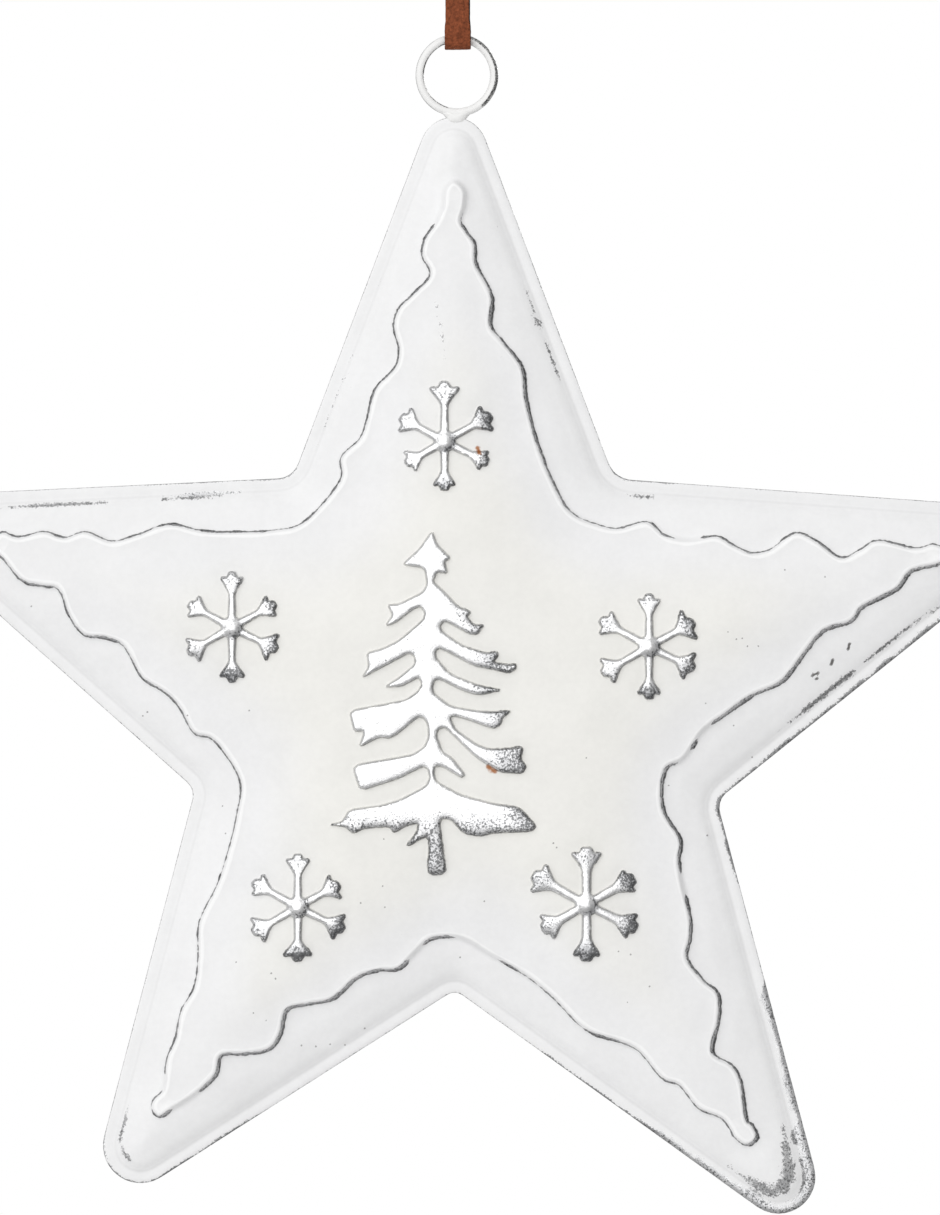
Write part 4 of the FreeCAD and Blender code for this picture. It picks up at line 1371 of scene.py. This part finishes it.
@dataclass
class Hanger:
    """The wire ring on the top tip, its solder and the bead in the seam.

    Attributes:
        plan: The flat outlines.
        ring_radius: Radius of the ring at the middle of its wire.
        wire_radius: Radius of the wire.
        bead_radius: Radius of the solder bead along the cut edge.
        fillet_depth: Half the solder's depth, front to back.
        fillet: The solder's outline, across and up.
    """

    plan: StarPlan
    ring_radius: float = 7.1
    wire_radius: float = 0.8
    bead_radius: float = 0.17
    fillet_depth: float = 1.05
    fillet: tuple[Point, ...] = (
        (2.9, 0.9), (2.35, 1.25), (0.9, 1.0), (-0.9, 1.0), (-2.35, 1.25), (-2.9, 0.9), (-2.2, 0.1),
        (-1.75, -0.6), (-1.1, -1.15), (0.9, -1.15), (1.6, -0.6), (2.2, 0.1),
    )

    def build_ring(self) -> None:
        """Sweep the ring's wire, worn outside on the right, with painted shade as grey metal along its
        inner and outer edges on the left.
        """
        line = []
        for bearing in range(0, 360, 3):
            across, up = heading(bearing) * self.ring_radius
            line.append(Vector((across, 0.0, RING_Z + up)) * MM)
        paint = WirePaint("painted ring wire", share=1.0).build()
        piece = swept("hanging_ring_wire", paint, line, self.wire_radius * MM, uneven=0.05, seed=3)
        x, _, z = np.array([tuple(vert.co) for vert in piece.data.vertices]).T / MM
        right = x / self.ring_radius
        up = (z - RING_Z) / self.ring_radius
        outward = (np.hypot(x, z - RING_Z) - self.ring_radius) / self.wire_radius
        wear = smoothstep(-0.1, 0.6, outward) * smoothstep(0.1, 0.6, right + 0.12 * up)
        wear *= smoothstep(-0.95, -0.7, up)
        # Painted shade: thin grey lines along the wire's inner and outer edges on the left, where the round
        # wire turns away.
        inner = smoothstep(-0.55, -0.85, outward) * smoothstep(0.1, -0.6, right)
        outer = smoothstep(0.8, 0.97, outward) * smoothstep(-0.2, -0.7, right)
        store(piece.data, "wear", np.maximum(wear, 0.75 * np.maximum(inner, outer)))
        place_piece(piece, Body.STAR, Slot.WIRE, "hanging_ring")

    def build_bead(self) -> None:
        """Sweep the solder bead that shows between the flanges."""
        outline = offset(resample(self.plan.outline, 1.1), 0.12)
        line = [Vector((x, 0.0, STAR_Z + z)) * MM for x, z in outline.tolist()]
        solder = WirePaint("seam solder", share=0.0, bareness=0.62).build()
        piece = swept("seam_bead", solder, line, self.bead_radius * MM, uneven=0.5, seed=8)
        place_piece(piece, Body.STAR, Slot.SEAM, "seam_solder")

    def build_fillet(self) -> None:
        """Model the solder that joins the ring to the top tip: a smooth pad with a blunt foot."""
        centre = np.array((0.0, 0.1))
        loop = resample(spline(np.array(self.fillet)[::-1], 5), 0.35)
        count = len(loop)
        steps = 9
        rings = []
        for step in range(1, steps):
            lean = math.pi * (step / steps - 0.5)
            x, z = (centre + (loop - centre) * math.cos(lean) ** 0.9).T
            rings.append(np.column_stack((x, np.full(count, self.fillet_depth * math.sin(lean)), z)))
        poles = [(centre[0], side * self.fillet_depth, centre[1]) for side in (-1.0, 1.0)]
        verts = np.vstack((*rings, poles))
        last = (steps - 2) * count
        faces = ring_faces(count, range(0, last + 1, count))
        for index in range(count):
            after = (index + 1) % count
            faces += [(len(verts) - 2, after, index), (len(verts) - 1, last + index, last + after)]
        tip_z = RING_Z - self.ring_radius - self.wire_radius - 0.1
        mesh = bpy.data.meshes.new("ring_fillet")
        mesh.from_pydata(((verts + (-0.1, 0.0, tip_z)) * MM).tolist(), [], faces)
        close_up(mesh)
        paint = WirePaint("painted solder", share=0.0, bareness=0.05).build()
        place_piece(new_object("ring_fillet", mesh, paint), Body.STAR, Slot.FILLET, "ring_solder")


@dataclass
class SuedeLace:
    """The flat suede lace and its knot.

    Attributes:
        width: The lace's width.
        thickness: Its thickness.
        route: Its centreline from the knot down the front, round the ring's wire and up the back.
        knot_middle: The middle of the knot.
        knot_size: Half the width, depth and height of the knot's core.
        sharp: The angle in degrees above which its edges stay sharp.
    """

    width: float = 5.0
    thickness: float = 0.8
    route: tuple[Point, ...] = (
        (-0.45, 1.5), (-0.45, 0.4), (-3.4, -3.0), (-2.12, -57.274), (-2.12, -61.817),
        (2.12, -61.817), (2.12, -57.274), (3.4, -3.0), (0.45, 0.4), (0.45, 1.5),
    )
    knot_middle: Point3 = (0.0, 0.0, 5.75)
    knot_size: Point3 = (4.2, 2.9, 4.2)
    sharp: float = 50.0

    def centreline(self) -> list[Vector]:
        """Read the smooth line of the route, in metres.

        Returns:
            The line's points.
        """
        holder = drawn_line("lace_line", "NURBS", [(0.0, y * MM, z * MM) for y, z in self.route])
        holder.data.resolution_u = 24
        run = holder.data.splines[0]
        run.order_u = 3
        run.use_endpoint_u = True
        mesh = taken_mesh(holder, "lace_line")
        line = [vert.co.copy() for vert in mesh.vertices]
        bpy.data.meshes.remove(mesh)
        return line

    def section(self) -> list[Point3]:
        """List the strap's section: across, out, and whether it is a cut side.

        Returns:
            Three numbers for each point, clockwise from the left.
        """
        half = self.width / 2
        thick = self.thickness / 2
        points = []
        for side in (1, -1):
            for share in np.linspace(-0.97 * side, 0.97 * side, 13).tolist():
                points.append((share * half, side * thick * (1.0 - 0.12 * share ** 4), 0.0))
            points += [(side * half, side * thick * 0.5, 1.0), (side * half, -side * thick * 0.5, 1.0)]
        return points

    def strap(self, name: str, line: list[Vector], across: list[Vector], material: bpy.types.Material,
              taper: float = 0.0) -> bpy.types.Object:
        """Sweep the flat section along a line.

        Args:
            name: The piece's name.
            line: The centreline, in metres.
            across: The direction of the lace's width at each point.
            material: Its material.
            taper: How much narrower the last point is, as a share.

        Returns:
            The strap, closed at both ends.
        """
        section = self.section()
        count = len(section)
        verts = []
        for index, place in enumerate(line):
            along = (line[min(index + 1, len(line) - 1)] - line[max(index - 1, 0)]).normalized()
            wide = across[index].normalized()
            out = along.cross(wide).normalized()
            share = 1.0 - taper * index / (len(line) - 1)
            for step, (x, y, _) in enumerate(section):
                x *= 1.0 + 0.009 * math.sin(index * 0.83 + step // 14) + 0.006 * math.sin(index * 2.1)
                jitter = 0.035 * math.sin(index * 1.7 + step * 0.9) * math.sin(index * 0.31 + step)
                verts.append(place + wide * (x * share * MM) + out * ((y + jitter) * MM))
        last = len(verts) - count
        ends = [tuple(range(count)), tuple(reversed(range(last, last + count)))]
        mesh = bpy.data.meshes.new(name)
        mesh.from_pydata(verts, [], ring_faces(count, range(0, last + 1, count)) + ends)
        store(mesh, "side", [cut for _, _, cut in section] * len(line))
        close_up(mesh, self.sharp)
        return new_object(name, mesh, material)

    def build(self) -> None:
        """Build the lace loop, which twists a little below the knot, and the knot."""
        suede = Suede().build()
        line = self.centreline()
        dense = []
        for start, end in zip(line, line[1:]):
            steps = max(1, round((end - start).length / (0.7 * MM)))
            dense += [start.lerp(end, step / steps) for step in range(steps)]
        dense.append(line[-1])
        heights = np.array([place.z for place in dense]) / MM
        free = smoothstep(-8.0, -26.0, heights)
        turns = np.radians((9.0 + 17.0 * smoothstep(-59.4, -56.0, heights)) * free).tolist()
        for place, share in zip(dense, free.tolist()):
            place.x += 0.15 * MM * share
        across = [Vector((math.cos(turn), -math.sin(turn), 0.0)) for turn in turns]
        loop = self.strap("suede_lace", dense, across, suede)
        place_piece(loop, Body.LACE, Slot.LACE, "hanging_lace")
        knot = self.build_knot(suede)
        length = sum((after - before).length for before, after in zip(line, line[1:]))
        tuple(line[0])
        [tuple(place) for place in line]

    def build_knot(self, material: bpy.types.Material) -> bpy.types.Object:
        """Model the knot: a packed core, two bands drawn over it and two cut ends.

        Args:
            material: Its material.

        Returns:
            The knot's piece.
        """
        middle = Vector(self.knot_middle)
        parts = []
        for tilt, width, depth, spin in ((20.0, 4.75, 3.2, 0.0), (-38.0, 4.2, 2.75, 0.6)):
            lean = Matrix.Rotation(math.radians(tilt), 3, "Y")
            line = []
            for step in range(49):
                turn = 2 * math.pi * step / 48 + spin
                spot = Vector((math.cos(turn) * width, math.sin(turn) * depth, 0.5 * math.sin(2 * turn)))
                line.append((lean @ spot + middle) * MM)
            parts.append(self.strap("knot_band", line, [lean @ Vector((0.0, 0.0, 1.0))] * 49, material))
        for side in (-1.0, 1.0):
            line = []
            across = []
            for share in np.linspace(0.0, 1.0, 25).tolist():
                bow = side * (0.8 + 2.3 * math.sin(share * 2.2))
                line.append(Vector((side * 0.5 * share, bow, 7.0 + 16.8 * share)) * MM)
                across.append(Vector((1.0, 0.12 * side * share, 0.0)))
            parts.append(self.strap("knot_tail", line, across, material, taper=0.06))
        core = bpy.data.meshes.new("knot_core")
        shape = bmesh.new()
        bmesh.ops.create_uvsphere(shape, u_segments=40, v_segments=24, radius=1.0)
        wide, deep, tall = self.knot_size
        for vert in shape.verts:
            x, y, z = vert.co
            fold = 1.0 + 0.07 * math.sin(5 * math.atan2(y, x) + 3.0 * z)
            vert.co = (Vector((x * wide * fold, y * deep * fold, z * tall)) + middle) * MM
        shape.to_mesh(core)
        shape.free()
        parts.append(new_object("knot_core", core, material))
        merged = bmesh.new()
        for part in parts:
            merged.from_mesh(part.data)
            bpy.data.objects.remove(part)
        mesh = bpy.data.meshes.new("lace_knot_folds")
        merged.to_mesh(mesh)
        merged.free()
        mesh.shade_smooth()
        mesh.set_sharp_from_angle(angle=math.radians(self.sharp))
        piece = new_object("lace_knot_folds", mesh, material)
        place_piece(piece, Body.LACE, Slot.LACE, "lace_knot")
        return piece


@dataclass
class Studio:
    """Camera, lamps, floor and backdrop.

    Attributes:
        aim: The point at the picture's centre, in millimetres.
        distance: The camera's distance in front of it.
        tall: How much of the star's plane the picture's height takes in.
        lens: Focal length.
        bright_side: Direction in which the surroundings are brightest.
        bright: Their strength there.
        dim: Their strength on the other side.
        side: Half the width of floor and backdrop, in metres.
        near: Where the floor starts, in metres from the star.
        far: Where it meets the backdrop.
        ground: The floor's height.
        top: The backdrop's upper edge.
    """

    aim: Point3 = (2.48, 0.0, -168.68)
    distance: float = 1300.0
    tall: float = 231.9
    lens: float = 200.0
    bright_side: Point3 = (-0.4, -0.75, 0.55)
    bright: float = 0.67
    dim: float = 0.13
    side: float = 2.4
    near: float = -0.3
    far: float = 4.0
    ground: float = -0.9
    top: float = 2.2

    def build_camera(self) -> None:
        """Set the camera square to the star."""
        data = bpy.data.cameras.new("camera")
        data.sensor_fit = "VERTICAL"
        data.sensor_height = self.tall * self.lens / self.distance
        data.sensor_width = data.sensor_height
        data.lens = self.lens
        data.clip_start = 0.05
        data.clip_end = 20.0
        camera = bpy.data.objects.new("camera", data)
        camera.location = Vector((self.aim[0], -self.distance, self.aim[2])) * MM
        camera.rotation_euler = (math.radians(90), 0.0, 0.0)
        bpy.context.scene.collection.objects.link(camera)
        bpy.context.scene.camera = camera

    def build_lamp(self, name: str, place: Point3, size: float, power: float) -> None:
        """Hang a soft square lamp that faces the star.

        Args:
            name: Its name.
            place: Where it hangs, in metres.
            size: The length of its sides.
            power: Its power in watts.
        """
        data = bpy.data.lights.new(name, "AREA")
        data.shape = "SQUARE"
        data.size = size
        data.energy = power
        piece = bpy.data.objects.new(name, data)
        piece.location = place
        target = Vector((0.0, 0.0, STAR_Z * MM))
        piece.rotation_euler = (target - Vector(place)).to_track_quat("-Z", "Y").to_euler()
        bpy.context.scene.collection.objects.link(piece)

    def build_card(self, name: str, low: Point, high: Point, shown: float) -> None:
        """Stand or lay a pale card across the studio.

        Args:
            name: Its name.
            low: Its first edge's distance behind the star and height.
            high: Its second edge's.
            shown: 1 where the camera sees it plain white, 0 where it sees it lit.
        """
        material = bpy.data.materials.new(name + " card")
        net = Net(material)
        rays = material.node_tree.nodes.new("ShaderNodeLightPath").outputs
        camera = Field(net, rays["Is Camera Ray"])
        glossy = Field(net, rays["Is Glossy Ray"])
        through = Field(net, rays["Is Transmission Ray"])
        seen = camera.top(glossy).top(through) * shown
        plain = net.join("ShaderNodeBsdfDiffuse", {"Color": (0.88, 0.88, 0.88)})
        white = net.join("ShaderNodeEmission", {"Color": (1.0, 1.0, 1.0)})
        blend = net.join("ShaderNodeMixShader", {0: seen, 1: plain, 2: white})
        net.join("ShaderNodeOutputMaterial", {"Surface": blend})
        mesh = bpy.data.meshes.new(name)
        corners = [(-self.side, *low), (self.side, *low), (self.side, *high), (-self.side, *high)]
        mesh.from_pydata(corners, [], [(0, 1, 2, 3)])
        new_object(name, mesh, material)

    def build_world(self) -> None:
        """Light the surroundings, brighter on one side."""
        world = bpy.data.worlds.new("studio air")
        bpy.context.scene.world = world
        net = Net(world)
        around = net.join("ShaderNodeTexCoord", {}, "Generated")
        feeds = {0: around, 1: Vector(self.bright_side).normalized()}
        toward = net.join("ShaderNodeVectorMath", feeds, "Value", operation="DOT_PRODUCT")
        level = toward.remap(-0.7, 0.6, self.dim, self.bright)
        air = net.join("ShaderNodeBackground", {"Color": (1.0, 1.0, 1.0), "Strength": level})
        net.join("ShaderNodeOutputWorld", {"Surface": air})

    def build(self) -> None:
        """Set up the whole studio."""
        self.build_camera()
        self.build_lamp("soft box", (-0.5, -1.5, 0.25), size=2.2, power=16.6)
        self.build_lamp("back fill", (1.5, 1.6, 0.7), size=1.4, power=17.0)
        self.build_card("floor", (self.near, self.ground), (self.far, self.ground), 0.0)
        self.build_card("backdrop", (self.far, self.ground), (self.far, self.top), 1.0)
        self.build_world()
        bpy.context.scene.view_settings.view_transform = "Standard"


def main() -> None:
    """Build the studio and every piece, in order."""
    logging.basicConfig(level=logging.INFO, format="%(message)s")
    Studio().build()
    SuedeLace().build()
    plan = StarPlan()
    relief = Relief(plan)
    paint = WornPaint().build()
    PressedHalf(plan, relief, front=True).build("front_half", paint, "front_shell")
    PressedHalf(plan, relief, front=False).build("back_half", paint, "back_shell")
    hanger = Hanger(plan)
    hanger.build_ring()
    hanger.build_bead()
    hanger.build_fillet()


if __name__ == "__main__":
    main()
